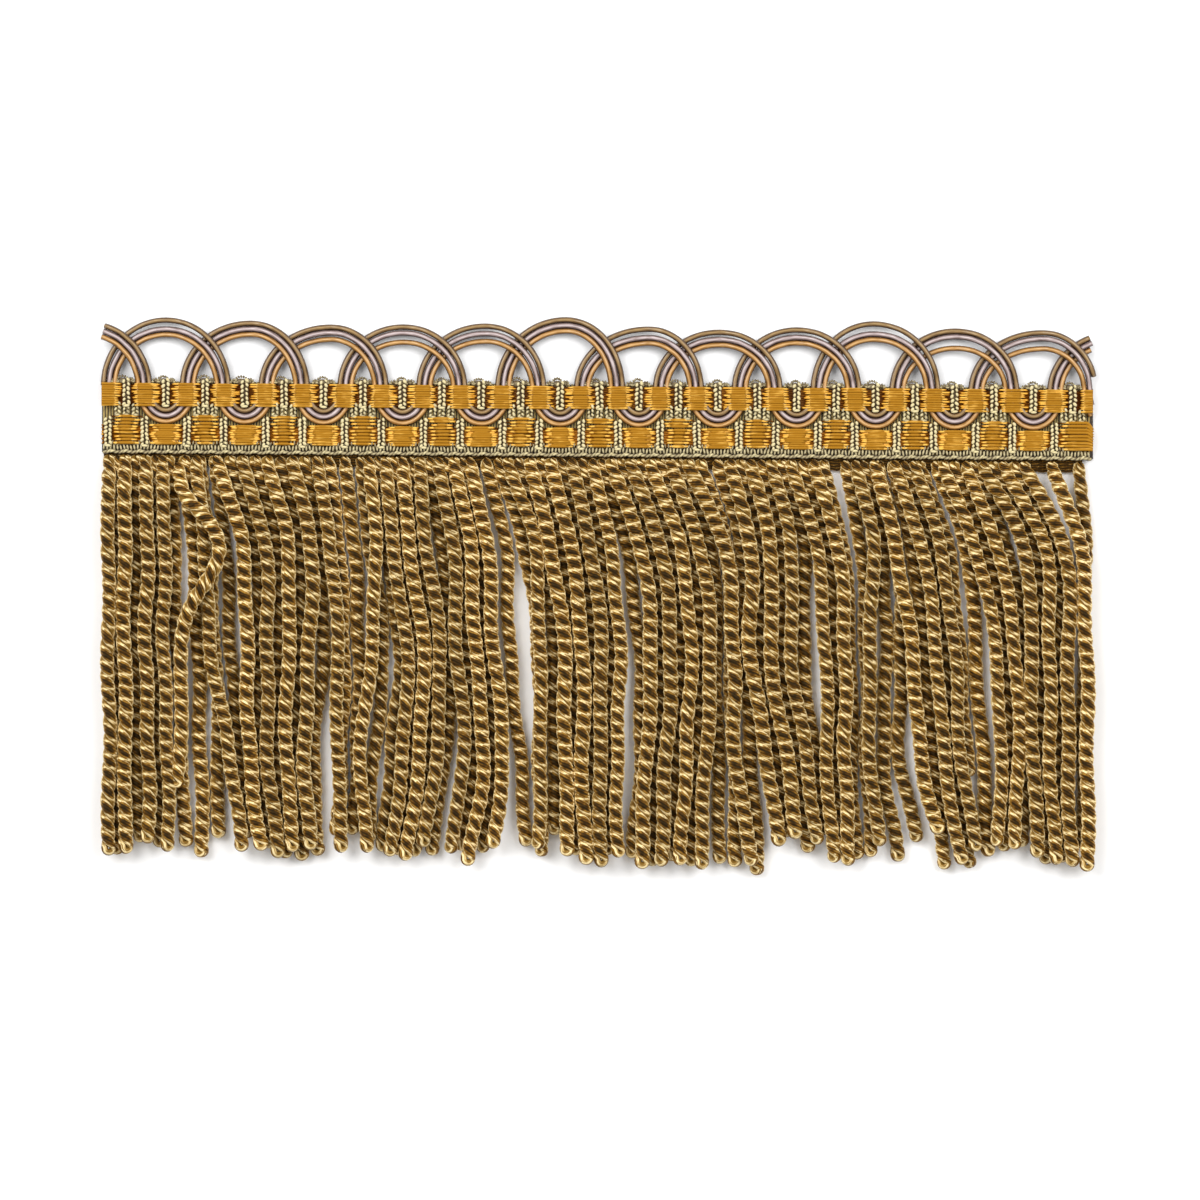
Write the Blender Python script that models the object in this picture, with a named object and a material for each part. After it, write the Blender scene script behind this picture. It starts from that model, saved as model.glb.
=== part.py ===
"""Cord fringe trim: a woven heading with looped gimp cords and a skirt of bullion cords.

The trim lies on its back on the surface z = 0. X runs along it, +Y from the tips of the
skirt to the loops, and +Z out of its face. All sizes are millimetres, turned to metres
where a mesh is made.
"""

import math
import random
from typing import NamedTuple

import bmesh
import bpy
from mathutils import Matrix, Vector

MM = 0.001

# Overall
LENGTH = 270.7
HALF = LENGTH / 2
FALL = 0.0075           # the heading drops this much for each millimetre of length, left to right
CLEAR = 0.32            # between pieces that touch
FACING = 0.9            # share of a face's normal that marks the way it faces

# Heading web
WEB_TOP = 58.9
WEB_FOOT = 38.4
WEB_THICK = 1.2
SELVAGE_HIGH = 2.2
SELVAGE_WIDE = 1.3
INSET = 0.2             # of raised bands from the web's edges
SINK = 0.5              # of raised pieces into the web

# Ribs, worked over the gold weft
RIB_HALF = 1.05
RIB_UNDER = 2.42
RIB_TOP = 3.2
RIB_FOOT = 0.6
LOWER_RIB_OFFSET = 5.75  # of a lower rib from the middle of a U

# Gold weft
WEFT_THICK = 0.6
WEFT_LOW = 1.52         # its underside where it passes under a rib
UPPER_WEFT_TOP = 57.7
UPPER_WEFT_FOOT = 52.1
UPPER_WEFT_HIGH = 3.2  # its underside over the gimp cords
LOWER_WEFT_TOP = 48.5
LOWER_WEFT_DIP = 45.6   # its top edge below a U
DIP_MARGIN = 0.1        # the dip's run past the room beside a rib
LOWER_WEFT_FOOT = 41.05
LOWER_WEFT_HIGH = 2.3   # its underside between ribs
RIB_SIDE = 0.35         # the weft's room beside a rib
WEFT_SLOPE = 1.0        # the run in which it rises from under a rib

# Gimp cords
REPEAT = 21.52
FIRST_U = -117.8        # middle of the first whole U
GIMP_HALF = 0.62
GIMP_STEP = 1.56        # between the middles of neighbours
GIMP_BASE = 2.17        # height of a cord's middle on the heading
GIMP_HUMP = 1.62        # a falling limb rises this much over the next loop
U_HALF = 6.05           # from the middle of a U to its middle cord's limb
U_SPRING = 56.5
U_FOOT = 48.3
CROSSING = 10.9         # height above the spring at which the limbs cross
HUMP_FLAT = 5.0
HUMP_REACH = 9.6
ARCH_STEPS = 10
U_STEPS = 6


class Loop(NamedTuple):
    """One high loop: where its top leans, how far it rises past the web, how far its cords part."""

    lean: float
    rise: float
    parted: float


LOOPS = (
    Loop(0.4, 15.2, 0.0),
    Loop(0.1, 16.3, 0.9),
    Loop(1.6, 15.6, 0.0),
    Loop(2.0, 14.7, 0.2),
    Loop(0.3, 14.9, 0.9),
    Loop(1.1, 15.3, 0.8),
    Loop(1.6, 17.2, 0.0),
    Loop(2.6, 14.8, 0.8),
    Loop(0.4, 14.1, 0.0),
    Loop(0.1, 14.9, 0.3),
    Loop(-0.5, 16.7, 0.0),
    Loop(0.3, 14.9, 0.9),
    Loop(2.4, 14.6, 0.7),
    Loop(1.6, 14.8, 0.0),
)

# Skirt
ROOT_TOP = 38.05        # upper edge of the root strips
ROOT_EDGE = 35.8        # lower edge, where the cords start
ROOT_THICK = 1.2
ROOT_HALF = 1.25        # half a cord's width where it starts
CORD_HALF = 1.88
CORD_CROWN = 0.66       # width of a cord's upper side as a share of its lower side
SWELL = 8.0             # a cord is at its full size this far from its root
FLOOR_RUN = 16.0        # a cord that lies on the surface sinks to it over this length
TIP_ROUND = 1.4
LEVELS = (ROOT_EDGE, 13.9, -14.7, -44.7, -70.6)   # heights of the table's columns
SECTIONS = (31.5, 26.0, 12.0, -4.0, -21.0, -39.0, -57.0)
TIP_SPREAD = 2.5
SEED = 11


class Lock(NamedTuple):
    """Neighbouring cords of one row that hang together.

    root is the first cord's place, and upper to tip are its drift from there at the
    heights in LEVELS. pitch_root and pitch_tip set the cords side by side, reach is the
    mean height of the tips, and floor is 1 where front cords lie on the surface.
    """

    cords: int
    root: float
    upper: float
    middle: float
    lower: float
    tip: float
    pitch_root: float
    pitch_tip: float
    reach: float
    floor: float


FRONT_LOCKS = (
    Lock(2, -133.2, 0.0, 0.0, 0.3, 0.0, 4.4, 4.4, -71.5, 0),
    Lock(2, -123.3, 0.8, 0.2, 1.1, 1.1, 4.6, 5.4, -70.5, 0),
    Lock(1, -109.5, 2.5, 4.1, 9.5, 12.8, 0.0, 0.0, -70.5, 0),
    Lock(4, -103.7, 6.8, 8.2, 9.0, 12.3, 6.8, 4.4, -70.5, 0),
    Lock(1, -76.5, 3.8, 5.7, 5.7, 7.1, 0.0, 0.0, -72.0, 0),
    Lock(1, -62.3, 1.9, 0.8, -2.2, -0.5, 0.0, 0.0, -68.5, 0),
    Lock(3, -57.7, 1.9, 5.7, 4.6, 1.1, 4.6, 4.5, -70.5, 0),
    Lock(3, -43.5, 4.1, 5.2, 7.1, 3.0, 4.4, 5.7, -71.5, 0),
    Lock(1, -30.4, 5.2, 6.4, 9.3, 11.1, 0.0, 0.0, -71.0, 1),
    Lock(1, -24.4, 7.4, 8.5, 9.0, 7.9, 0.0, 0.0, -70.0, 0),
    Lock(4, -18.4, 5.5, 9.3, 9.5, 10.6, 5.7, 4.4, -71.5, 0),
    Lock(4, 3.7, 7.9, 10.9, 9.5, 8.2, 5.4, 5.4, -72.0, 0),
    Lock(1, 24.7, 9.8, 12.3, 12.8, 17.4, 0.0, 0.0, -73.0, 0),
    Lock(3, 36.1, 5.5, 5.5, 10.1, 13.6, 5.7, 5.3, -67.5, 0),
    Lock(2, 52.7, 6.8, 9.3, 9.8, 11.4, 6.3, 4.4, -73.0, 0),
    Lock(1, 70.5, 4.6, 3.5, 3.8, 6.5, 0.0, 0.0, -68.5, 0),
    Lock(1, 75.9, 5.2, 9.8, 12.3, 18.8, 0.0, 0.0, -64.0, 0),
    Lock(2, 81.1, 7.1, 11.2, 13.4, 18.0, 5.4, 4.4, -71.5, 0),
    Lock(2, 94.2, 8.7, 14.2, 15.5, 14.7, 6.3, 4.4, -70.0, 0),
    Lock(3, 105.1, 11.2, 12.8, 13.4, 15.0, 5.7, 4.5, -71.5, 0),
    Lock(1, 122.5, 9.0, 10.6, 10.9, 10.9, 0.0, 0.0, -73.0, 0),
)

BACK_LOCKS = (
    Lock(1, -125.9, 0.1, -0.3, 0.1, 1.2, 0.0, 0.0, -70.0, 0),
    Lock(1, -116.9, 1.2, 2.2, 3.6, 4.4, 0.0, 0.0, -67.0, 0),
    Lock(1, -112.7, 2.2, 3.6, 4.4, 4.9, 0.0, 0.0, -70.0, 0),
    Lock(1, -108.6, 2.3, 4.1, 5.2, 4.8, 0.0, 0.0, -69.0, 0),
    Lock(1, -104.5, 2.9, 4.4, 6.5, 9.8, 0.0, 0.0, -67.0, 0),
    Lock(1, -80.0, 3.8, 5.2, 2.4, 3.9, 0.0, 0.0, -69.5, 0),
    Lock(1, -73.3, 2.5, 4.0, 3.3, 2.0, 0.0, 0.0, -68.5, 0),
    Lock(1, -68.9, 2.4, 3.8, 3.3, 1.9, 0.0, 0.0, -68.0, 0),
    Lock(1, -64.6, 2.4, 6.2, 3.6, 1.8, 0.0, 0.0, -66.0, 0),
    Lock(1, -60.0, 2.0, 6.0, 3.6, 1.4, 0.0, 0.0, -70.0, 0),
    Lock(1, -46.0, 3.1, 5.5, 4.4, 0.5, 0.0, 0.0, -69.5, 0),
    Lock(1, -27.0, 6.8, 10.8, 11.0, 11.9, 0.0, 0.0, -70.5, 0),
    Lock(1, -21.4, 6.3, 9.5, 9.5, 10.4, 0.0, 0.0, -66.0, 0),
    Lock(1, 1.0, 6.6, 10.3, 10.6, 8.5, 0.0, 0.0, -70.0, 0),
    Lock(1, 22.2, 8.7, 10.0, 10.6, 11.2, 0.0, 0.0, -74.0, 0),
    Lock(1, 28.1, 7.2, 8.1, 9.1, 9.7, 0.0, 0.0, -71.5, 0),
    Lock(1, 32.8, 6.7, 7.4, 9.1, 10.7, 0.0, 0.0, -74.25, 0),
    Lock(1, 50.3, 6.0, 5.8, 8.8, 11.6, 0.0, 0.0, -66.5, 0),
    Lock(1, 61.6, 5.2, 7.4, 7.7, 9.0, 0.0, 0.0, -71.0, 0),
    Lock(1, 67.7, 4.0, 5.5, 5.7, 7.0, 0.0, 0.0, -70.5, 0),
    Lock(1, 72.6, 4.7, 6.2, 5.5, 9.4, 0.0, 0.0, -72.5, 0),
    Lock(1, 76.6, 4.9, 6.3, 5.9, 12.2, 0.0, 0.0, -66.5, 0),
    Lock(1, 80.6, 5.2, 8.5, 11.1, 14.2, 0.0, 0.0, -73.5, 0),
    Lock(1, 88.1, 7.5, 10.7, 12.8, 15.0, 0.0, 0.0, -46.5, 0),
    Lock(1, 92.5, 8.2, 10.6, 12.7, 14.2, 0.0, 0.0, -71.5, 0),
    Lock(1, 102.6, 9.1, 13.1, 13.7, 13.4, 0.0, 0.0, -70.0, 0),
    Lock(1, 128.8, 4.4, 3.8, 3.6, 3.5, 0.0, 0.0, -70.5, 0),
)


class Bend(NamedTuple):
    """A place on the tangled cord: where it is, and how far it is raised over the front row."""

    along: float
    height: float
    raised: float


TANGLE = (
    Bend(-114.4, ROOT_EDGE, 0.0),
    Bend(-113.9, 31.5, 0.0),
    Bend(-112.9, 27.2, 1.6),
    Bend(-110.0, 24.0, 4.1),
    Bend(-106.2, 20.6, 4.1),
    Bend(-102.8, 15.0, 4.1),
    Bend(-102.6, 9.5, 4.1),
    Bend(-105.8, 3.6, 4.1),
    Bend(-110.2, -2.6, 4.1),
    Bend(-112.8, -9.0, 1.6),
    Bend(-113.6, -18.0, 0.0),
    Bend(-113.0, -38.0, 0.0),
    Bend(-114.6, -55.0, 0.0),
)

COLOURS = {
    "web": (0.40, 0.36, 0.20, 0.75),
    "gold": (0.60, 0.27, 0.02, 0.40),
    "brown": (0.25, 0.14, 0.06, 0.50),
    "mauve": (0.42, 0.32, 0.34, 0.50),
    "tan": (0.53, 0.26, 0.05, 0.50),
    "bullion": (0.42, 0.28, 0.10, 0.50),
}


def clear_scene():
    """Remove whatever the scene holds."""
    for thing in list(bpy.data.objects):
        bpy.data.objects.remove(thing, do_unlink=True)


def yarn_material(name, key):
    """A plain material in the yarn's mean colour."""
    red, green, blue, rough = COLOURS[key]
    material = bpy.data.materials.new(name)
    material.use_nodes = True
    shader = material.node_tree.nodes["Principled BSDF"]
    shader.inputs["Base Color"].default_value = (red, green, blue, 1.0)
    shader.inputs["Roughness"].default_value = rough
    shader.inputs["Metallic"].default_value = 0.0
    return material


def add_object(name, bm, key):
    """Lay the mesh with the heading's fall, turn it to metres and put it in the scene."""
    for vert in bm.verts:
        vert.co.y -= FALL * vert.co.x
        vert.co *= MM
    bmesh.ops.recalc_face_normals(bm, faces=bm.faces)
    mesh = bpy.data.meshes.new(name)
    bm.to_mesh(mesh)
    bm.free()
    mesh.materials.append(yarn_material(name + "_yarn", key))
    thing = bpy.data.objects.new(name, mesh)
    bpy.context.scene.collection.objects.link(thing)
    return thing


def add_box(bm, low, high):
    """A closed box between two corners."""
    size = Vector(high) - Vector(low)
    middle = (Vector(high) + Vector(low)) / 2
    matrix = Matrix.Translation(middle) @ Matrix.Diagonal((*size, 1.0))
    return bmesh.ops.create_cube(bm, size=1.0, matrix=matrix)["verts"]


def section(centre, side, up):
    """The matrix that takes the square of corners (+-1, 0, +-1) to one cross-section."""
    matrix = Matrix.Identity(4)
    matrix.col[0] = (*side, 0.0)
    matrix.col[1] = (*side.cross(up).normalized(), 0.0)
    matrix.col[2] = (*up, 0.0)
    matrix.col[3] = (*centre, 1.0)
    return matrix


def corner(frame, here, crown):
    """Where a corner of the last cross-section goes in the next one."""
    across = math.copysign(1.0 if here.z < 0 else crown, here.x)
    return frame @ Vector((across, 0.0, math.copysign(1.0, here.z)))


def extend(bm, face, last, sections, crown):
    """Extrude a face through cross-sections and return the end face."""
    for frame in sections:
        face = bmesh.ops.extrude_discrete_faces(bm, faces=[face])["faces"][0]
        inverse = last.inverted()
        for vert in face.verts:
            vert.co = corner(frame, inverse @ vert.co, crown)
        last = frame
    return face


def add_tube(bm, sections, crown):
    """A closed four-sided tube through cross-sections."""
    verts = bmesh.ops.create_cube(bm, size=2.0)["verts"]
    far = [vert for vert in verts if vert.co.y > 0]
    near = [vert for vert in verts if vert.co.y < 0]
    for vert in far:
        vert.co = corner(sections[1], vert.co, crown)
    for vert in near:
        vert.co = corner(sections[0], vert.co, crown)
    end = next(face for face in far[0].link_faces if all(vert in far for vert in face.verts))
    extend(bm, end, sections[1], sections[2:], crown)


def smooth(share):
    """An S-shaped step from 0 to 1."""
    share = min(max(share, 0.0), 1.0)
    return share * share * (3 - 2 * share)


def middles():
    """The middles of the U's, with one past each end."""
    return [FIRST_U + REPEAT * step for step in range(-1, len(LOOPS) - 1)]


def loop_path(first, offset, lowered):
    """Middle line of one gimp cord of a set, as points with the direction's left side.

    A high loop springs from the U before it and ends in the U after it, so each set
    takes every second loop. offset is towards the outside of the loop.
    """
    points = []
    centres = middles()
    for index in range(first, len(LOOPS) + 1, 2):
        points += arch_points(centres, index, offset, lowered)
        points += u_points(FIRST_U + REPEAT * index, offset)
    return points


def arch_points(centres, index, offset, lowered):
    """The high loop between two U's: two quarter ellipses that meet at its top."""
    if index >= len(LOOPS):
        return []
    loop = LOOPS[index]
    top = WEB_TOP + loop.rise - GIMP_HALF - GIMP_STEP
    half = REPEAT - U_HALF
    points = []
    for step in range(ARCH_STEPS):
        turn = math.pi * (1 - step / ARCH_STEPS)
        reach = half - loop.lean * math.copysign(1.0, math.cos(turn)) + offset
        rise = top - U_SPRING + offset - (loop.parted * lowered)
        along = centres[index] + loop.lean + math.cos(turn) * reach
        height = U_SPRING + math.sin(turn) * rise
        points.append(Vector((along, height, arch_height(along, height, centres[index]))))
    return points


def arch_height(along, height, centre):
    """A falling limb humps over the next loop's rising limb."""
    gap = math.hypot(along - centre - REPEAT / 2, height - U_SPRING - CROSSING)
    share = smooth((HUMP_REACH - gap) / (HUMP_REACH - HUMP_FLAT))
    return GIMP_BASE + GIMP_HUMP * share


def u_points(centre, offset):
    """The small U on the heading's face, half an ellipse open upwards."""
    points = []
    for step in range(U_STEPS):
        turn = math.pi * (1 + step / U_STEPS)
        along = centre + math.cos(turn) * (U_HALF - offset)
        height = U_SPRING + math.sin(turn) * (U_SPRING - U_FOOT - offset)
        points.append(Vector((along, height, GIMP_BASE)))
    return points


def path_sections(points, half):
    """Square cross-sections that turn with a path and stay level."""
    frames = []
    for index, point in enumerate(points):
        ahead = points[min(index + 1, len(points) - 1)]
        behind = points[max(index - 1, 0)]
        run = (ahead - behind).normalized()
        side = Vector((run.y, -run.x, 0.0)).normalized()
        frames.append(section(point, side * half, side.cross(run) * half))
    return frames


def trim_end(bm, along, outward):
    """Cut everything past one end of the trim and close the cut."""
    geometry = bm.verts[:] + bm.edges[:] + bm.faces[:]
    cut = bmesh.ops.bisect_plane(
        bm, geom=geometry, dist=1e-5, plane_co=(along, 0, 0), plane_no=(outward, 0, 0),
        clear_outer=True)
    edges = [item for item in cut["geom_cut"] if isinstance(item, bmesh.types.BMEdge)]
    bmesh.ops.holes_fill(bm, edges=edges, sides=0)


def make_gimp(name, first, offset, lowered, key):
    """One gimp cord from end to end of the trim."""
    bm = bmesh.new()
    add_tube(bm, path_sections(loop_path(first, offset, lowered), GIMP_HALF), CORD_CROWN)
    trim_end(bm, HALF, 1)
    trim_end(bm, -HALF, -1)
    add_object(name, bm, key)


def rib_places():
    """Places of the upper and of the lower ribs that lie whole on the web."""
    room = HALF - RIB_HALF - INSET
    steps = range(-1, len(LOOPS))
    upper = [FIRST_U + REPEAT * step / 2 for step in range(-2, 2 * len(LOOPS))]
    lower = [FIRST_U + REPEAT * step + side for step in steps
             for side in (-LOWER_RIB_OFFSET, LOWER_RIB_OFFSET)]
    return ([place for place in upper if abs(place) < room],
            [place for place in lower if abs(place) < room])


def add_rib(bm, along, foot, top):
    """A rib over the weft, down to the web on both sides of it."""
    verts = add_box(bm, (along - RIB_HALF, foot, RIB_UNDER), (along + RIB_HALF, top, RIB_TOP))
    faces = {face for vert in verts for face in vert.link_faces}
    edges = {edge for vert in verts for edge in vert.link_edges}
    for height in (foot + RIB_FOOT, top - RIB_FOOT):
        cut = bmesh.ops.bisect_plane(
            bm, geom=list(faces) + list(edges) + list(verts), dist=1e-5,
            plane_co=(0, height, 0), plane_no=(0, 1, 0))
        faces = {item for item in cut["geom"] if isinstance(item, bmesh.types.BMFace)}
        edges = {item for item in cut["geom"] if isinstance(item, bmesh.types.BMEdge)}
        verts = {item for item in cut["geom"] if isinstance(item, bmesh.types.BMVert)}
    for face in faces:
        middle = face.calc_center_median()
        if face.normal.z < -FACING and not foot + RIB_FOOT < middle.y < top - RIB_FOOT:
            new = bmesh.ops.extrude_discrete_faces(bm, faces=[face])["faces"][0]
            drop = RIB_UNDER - WEB_THICK + SINK
            bmesh.ops.translate(bm, verts=new.verts, vec=(0, 0, -drop))


def make_web():
    """The woven heading band with its selvage and its ribs as one body."""
    upper, lower = rib_places()
    raised = bmesh.new()
    base = WEB_THICK - SINK
    edge = HALF - INSET
    add_box(raised, (-edge, WEB_FOOT + INSET, base),
            (edge, WEB_FOOT + INSET + SELVAGE_WIDE, SELVAGE_HIGH))
    for along in upper:
        add_rib(raised, along, UPPER_WEFT_FOOT - CLEAR - RIB_FOOT, WEB_TOP - INSET)
    for along in lower:
        add_rib(raised, along, WEB_FOOT + INSET + SELVAGE_WIDE + INSET,
                LOWER_WEFT_DIP + CLEAR + RIB_FOOT)
    ribs = add_object("web_ribs", raised, "web")
    ribs.hide_render = True
    ribs.display_type = "WIRE"
    plate = bmesh.new()
    add_box(plate, (-HALF, WEB_FOOT, 0), (HALF, WEB_TOP, WEB_THICK))
    web = add_object("heading_web", plate, "web")
    union = web.modifiers.new("ribs", "BOOLEAN")
    union.operation = "UNION"
    union.solver = "EXACT"
    union.object = ribs


def weft_stations(ribs):
    """Places along a weft, each with its share of the rise between two ribs."""
    near = RIB_HALF + RIB_SIDE
    far = near + WEFT_SLOPE
    places = [-HALF, HALF]
    places += [along + step for along in ribs for step in (-far, -near, near, far)]
    stations = []
    for place in sorted(item for item in places if abs(item) <= HALF):
        gap = min(abs(place - along) for along in ribs)
        stations.append((place, min(max((gap - near) / WEFT_SLOPE, 0.0), 1.0)))
    return stations


def make_weft(name, ribs, foot, high, top_at):
    """A ribbon of weft that dips under the ribs."""
    frames = []
    for along, share in weft_stations(ribs):
        low = WEFT_LOW + (high - WEFT_LOW) * share
        top = top_at(along)
        centre = Vector((along, (foot + top) / 2, low + WEFT_THICK / 2))
        frames.append(section(centre, Vector((0, -(top - foot) / 2, 0)),
                              Vector((0, 0, WEFT_THICK / 2))))
    bm = bmesh.new()
    add_tube(bm, frames, 1.0)
    add_object(name, bm, "gold")


def lower_weft_top(along):
    """The lower weft is narrower below each U."""
    from_u = abs((along - FIRST_U + REPEAT / 2) % REPEAT - REPEAT / 2)
    inside = from_u < LOWER_RIB_OFFSET + RIB_HALF + RIB_SIDE + DIP_MARGIN
    return LOWER_WEFT_DIP if inside else LOWER_WEFT_TOP


def through(values, height):
    """The drift at a height, on a smooth curve through the table's columns."""
    last = len(LEVELS) - 1
    upper = max(index for index in range(last) if height <= LEVELS[index] or index == 0)
    span = LEVELS[upper + 1] - LEVELS[upper]
    share = (height - LEVELS[upper]) / span
    slopes = []
    for index in (upper, upper + 1):
        before = max(index - 1, 0)
        after = min(index + 1, last)
        slopes.append((values[after] - values[before]) / (LEVELS[after] - LEVELS[before]) * span)
    square = share * share
    cube = square * share
    return ((2 * cube - 3 * square + 1) * values[upper] + (cube - 2 * square + share) * slopes[0]
            + (3 * square - 2 * cube) * values[upper + 1] + (cube - square) * slopes[1])


class Cord(NamedTuple):
    """One cord of the skirt: its root, its drift at LEVELS, its tip and its floor mark."""

    root: float
    drift: tuple
    reach: float
    floor: float


def spread_lock(lock, first, count, chance):
    """Cords of a lock, from a first place counted in pitches."""
    cords = []
    for number in range(count):
        place = first + number
        widening = lock.pitch_tip - lock.pitch_root
        shares = [(LEVELS[0] - level) / (LEVELS[0] - LEVELS[-1]) for level in LEVELS]
        drift = (0.0, lock.upper, lock.middle, lock.lower, lock.tip)
        drift = tuple(value + place * widening * share for value, share in zip(drift, shares))
        reach = lock.reach + chance.uniform(-TIP_SPREAD, TIP_SPREAD)
        cords.append(Cord(lock.root + place * lock.pitch_root, drift, reach, lock.floor))
    return cords


def front_cords():
    """The front row, from left to right."""
    chance = random.Random(SEED)
    return [cord for lock in FRONT_LOCKS for cord in spread_lock(lock, 0, lock.cords, chance)]


def back_cords():
    """The back row: in the valleys of each front lock, and the loose ones between locks."""
    chance = random.Random(SEED + 1)
    cords = [cord for lock in FRONT_LOCKS
             for cord in spread_lock(lock, 0.5, lock.cords - 1, chance)]
    cords += [cord for lock in BACK_LOCKS for cord in spread_lock(lock, 0, lock.cords, chance)]
    return sorted(cords, key=lambda cord: cord.root)


def cord_size(height):
    """Half the width and the thickness of a cord at a height."""
    share = smooth((ROOT_EDGE - height) / SWELL)
    half = ROOT_HALF + (CORD_HALF - ROOT_HALF) * share
    thick = ROOT_THICK + (2 * CORD_HALF - ROOT_THICK) * share
    return half, thick


def cord_frame(along, height, row, raised, tip_share):
    """A level cross-section of a cord. row is 0 on the surface and 1 on the back row."""
    half, thick = cord_size(height)
    low = row * (thick + CLEAR) + raised
    half *= tip_share
    middle = Vector((along, height, low + thick * tip_share / 2))
    return section(middle, Vector((half, 0, 0)), Vector((0, 0, thick * tip_share / 2)))


def strand_frames(cord, row):
    """Cross-sections of a hanging cord, from its root to its tip."""
    heights = [level for level in SECTIONS if level > cord.reach + 2 * TIP_ROUND]
    heights.append(cord.reach + TIP_ROUND)
    frames = []
    for height in heights:
        lowered = smooth((ROOT_EDGE - SWELL - height) / FLOOR_RUN)
        settled = row * (1 - cord.floor * lowered)
        frames.append(cord_frame(cord.root + through(cord.drift, height), height, settled, 0, 1))
    end = cord.root + through(cord.drift, cord.reach)
    frames.append(cord_frame(end, cord.reach, row * (1 - cord.floor), 0, CORD_CROWN))
    return frames


def tangle_frames():
    """Cross-sections of the cord that crosses over its neighbour and back."""
    frames = [cord_frame(bend.along, bend.height, 1, bend.raised, 1) for bend in TANGLE[1:]]
    tip = TANGLE[-1]
    frames.append(cord_frame(tip.along, tip.height - TIP_ROUND, 1, tip.raised, CORD_CROWN))
    return frames


def make_fringe(name, row, runs):
    """A root strip with its cords drawn out of its lower edge. runs holds (root, frames)."""
    low = row * (ROOT_THICK + CLEAR)
    bm = bmesh.new()
    add_box(bm, (-HALF, ROOT_EDGE, low), (HALF, ROOT_TOP, low + ROOT_THICK))
    for root, _ in runs:
        for along in (root - ROOT_HALF, root + ROOT_HALF):
            geometry = bm.verts[:] + bm.edges[:] + bm.faces[:]
            bmesh.ops.bisect_plane(bm, geom=geometry, dist=1e-5, plane_co=(along, 0, 0),
                                   plane_no=(1, 0, 0))
    bm.normal_update()
    for root, frames in runs:
        start = min((face for face in bm.faces if face.normal.y < -FACING),
                    key=lambda face: abs(face.calc_center_median().x - root))
        extend(bm, start, cord_frame(root, ROOT_EDGE, row, 0, 1), frames, CORD_CROWN)
    add_object(name, bm, "bullion")


def main():
    """Build the trim."""
    clear_scene()
    make_web()
    upper, lower = rib_places()
    make_weft("gold_weft_upper", upper, UPPER_WEFT_FOOT, UPPER_WEFT_HIGH,
              lambda along: UPPER_WEFT_TOP)
    make_weft("gold_weft_lower", lower, LOWER_WEFT_FOOT, LOWER_WEFT_HIGH, lower_weft_top)
    for first, letter in ((1, "a"), (0, "b")):
        make_gimp("gimp_" + letter + "_brown", first, GIMP_STEP, 0, "brown")
        make_gimp("gimp_" + letter + "_mauve", first, 0.0, 1, "mauve")
        make_gimp("gimp_" + letter + "_gold", first, -GIMP_STEP, 1, "tan")
    front = [(cord.root, strand_frames(cord, 1)) for cord in front_cords()]
    front.append((TANGLE[0].along, tangle_frames()))
    make_fringe("fringe_front", 1, front)
    make_fringe("fringe_back", 0, [(cord.root, strand_frames(cord, 0)) for cord in back_cords()])


main()
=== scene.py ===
"""Cord fringe trim: woven heading, looped gimp cords and a skirt of bullion cords, dressed.

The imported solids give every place. Sizes here are millimetres in the solids' own frame,
and one function turns them to metres where a mesh is made.
"""

import logging
import math
import random
from dataclasses import dataclass, field
from enum import Enum
from typing import Callable, NamedTuple

import bmesh
import bpy
import numpy as np
from mathutils import Matrix, Vector


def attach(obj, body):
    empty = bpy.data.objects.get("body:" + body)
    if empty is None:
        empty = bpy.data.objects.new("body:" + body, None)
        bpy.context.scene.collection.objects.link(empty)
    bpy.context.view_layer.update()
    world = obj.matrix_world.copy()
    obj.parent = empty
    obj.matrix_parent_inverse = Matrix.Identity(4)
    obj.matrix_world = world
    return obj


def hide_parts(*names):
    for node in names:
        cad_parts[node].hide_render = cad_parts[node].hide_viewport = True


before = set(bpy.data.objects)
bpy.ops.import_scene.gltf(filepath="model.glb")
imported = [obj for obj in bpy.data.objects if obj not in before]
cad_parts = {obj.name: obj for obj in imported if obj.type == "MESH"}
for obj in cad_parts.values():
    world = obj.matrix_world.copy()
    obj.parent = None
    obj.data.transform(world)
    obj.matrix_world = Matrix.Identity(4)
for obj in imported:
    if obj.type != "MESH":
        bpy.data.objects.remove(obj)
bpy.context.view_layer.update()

LOG = logging.getLogger("trim")

MM = 0.001
BODY = "root"
SEED = 11

# The heading's places, the same as in the solids
HALF = 135.35
FALL = 0.0075
WEB_TOP = 58.9
WEB_FOOT = 38.4
REPEAT = 21.52
FIRST_U = -117.8
LOWER_RIB_OFFSET = 5.75


class Finish(Enum):
    """The material slots of the record."""

    HEADING = "heading_yarn"
    GOLD = "gold_weft"
    BROWN = "gimp_brown"
    MAUVE = "gimp_mauve"
    TAN = "gimp_gold"
    BULLION = "bullion"


def linear(code: str) -> tuple[float, float, float, float]:
    """Turn an sRGB hex colour to linear light.

    Args:
        code: Six hex digits.

    Returns:
        Red, green, blue and alpha.
    """
    parts = [int(code[start:start + 2], 16) / 255 for start in (0, 2, 4)]
    bent = [part / 12.92 if part <= 0.04045 else ((part + 0.055) / 1.055) ** 2.4 for part in parts]
    return (bent[0], bent[1], bent[2], 1.0)


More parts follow.
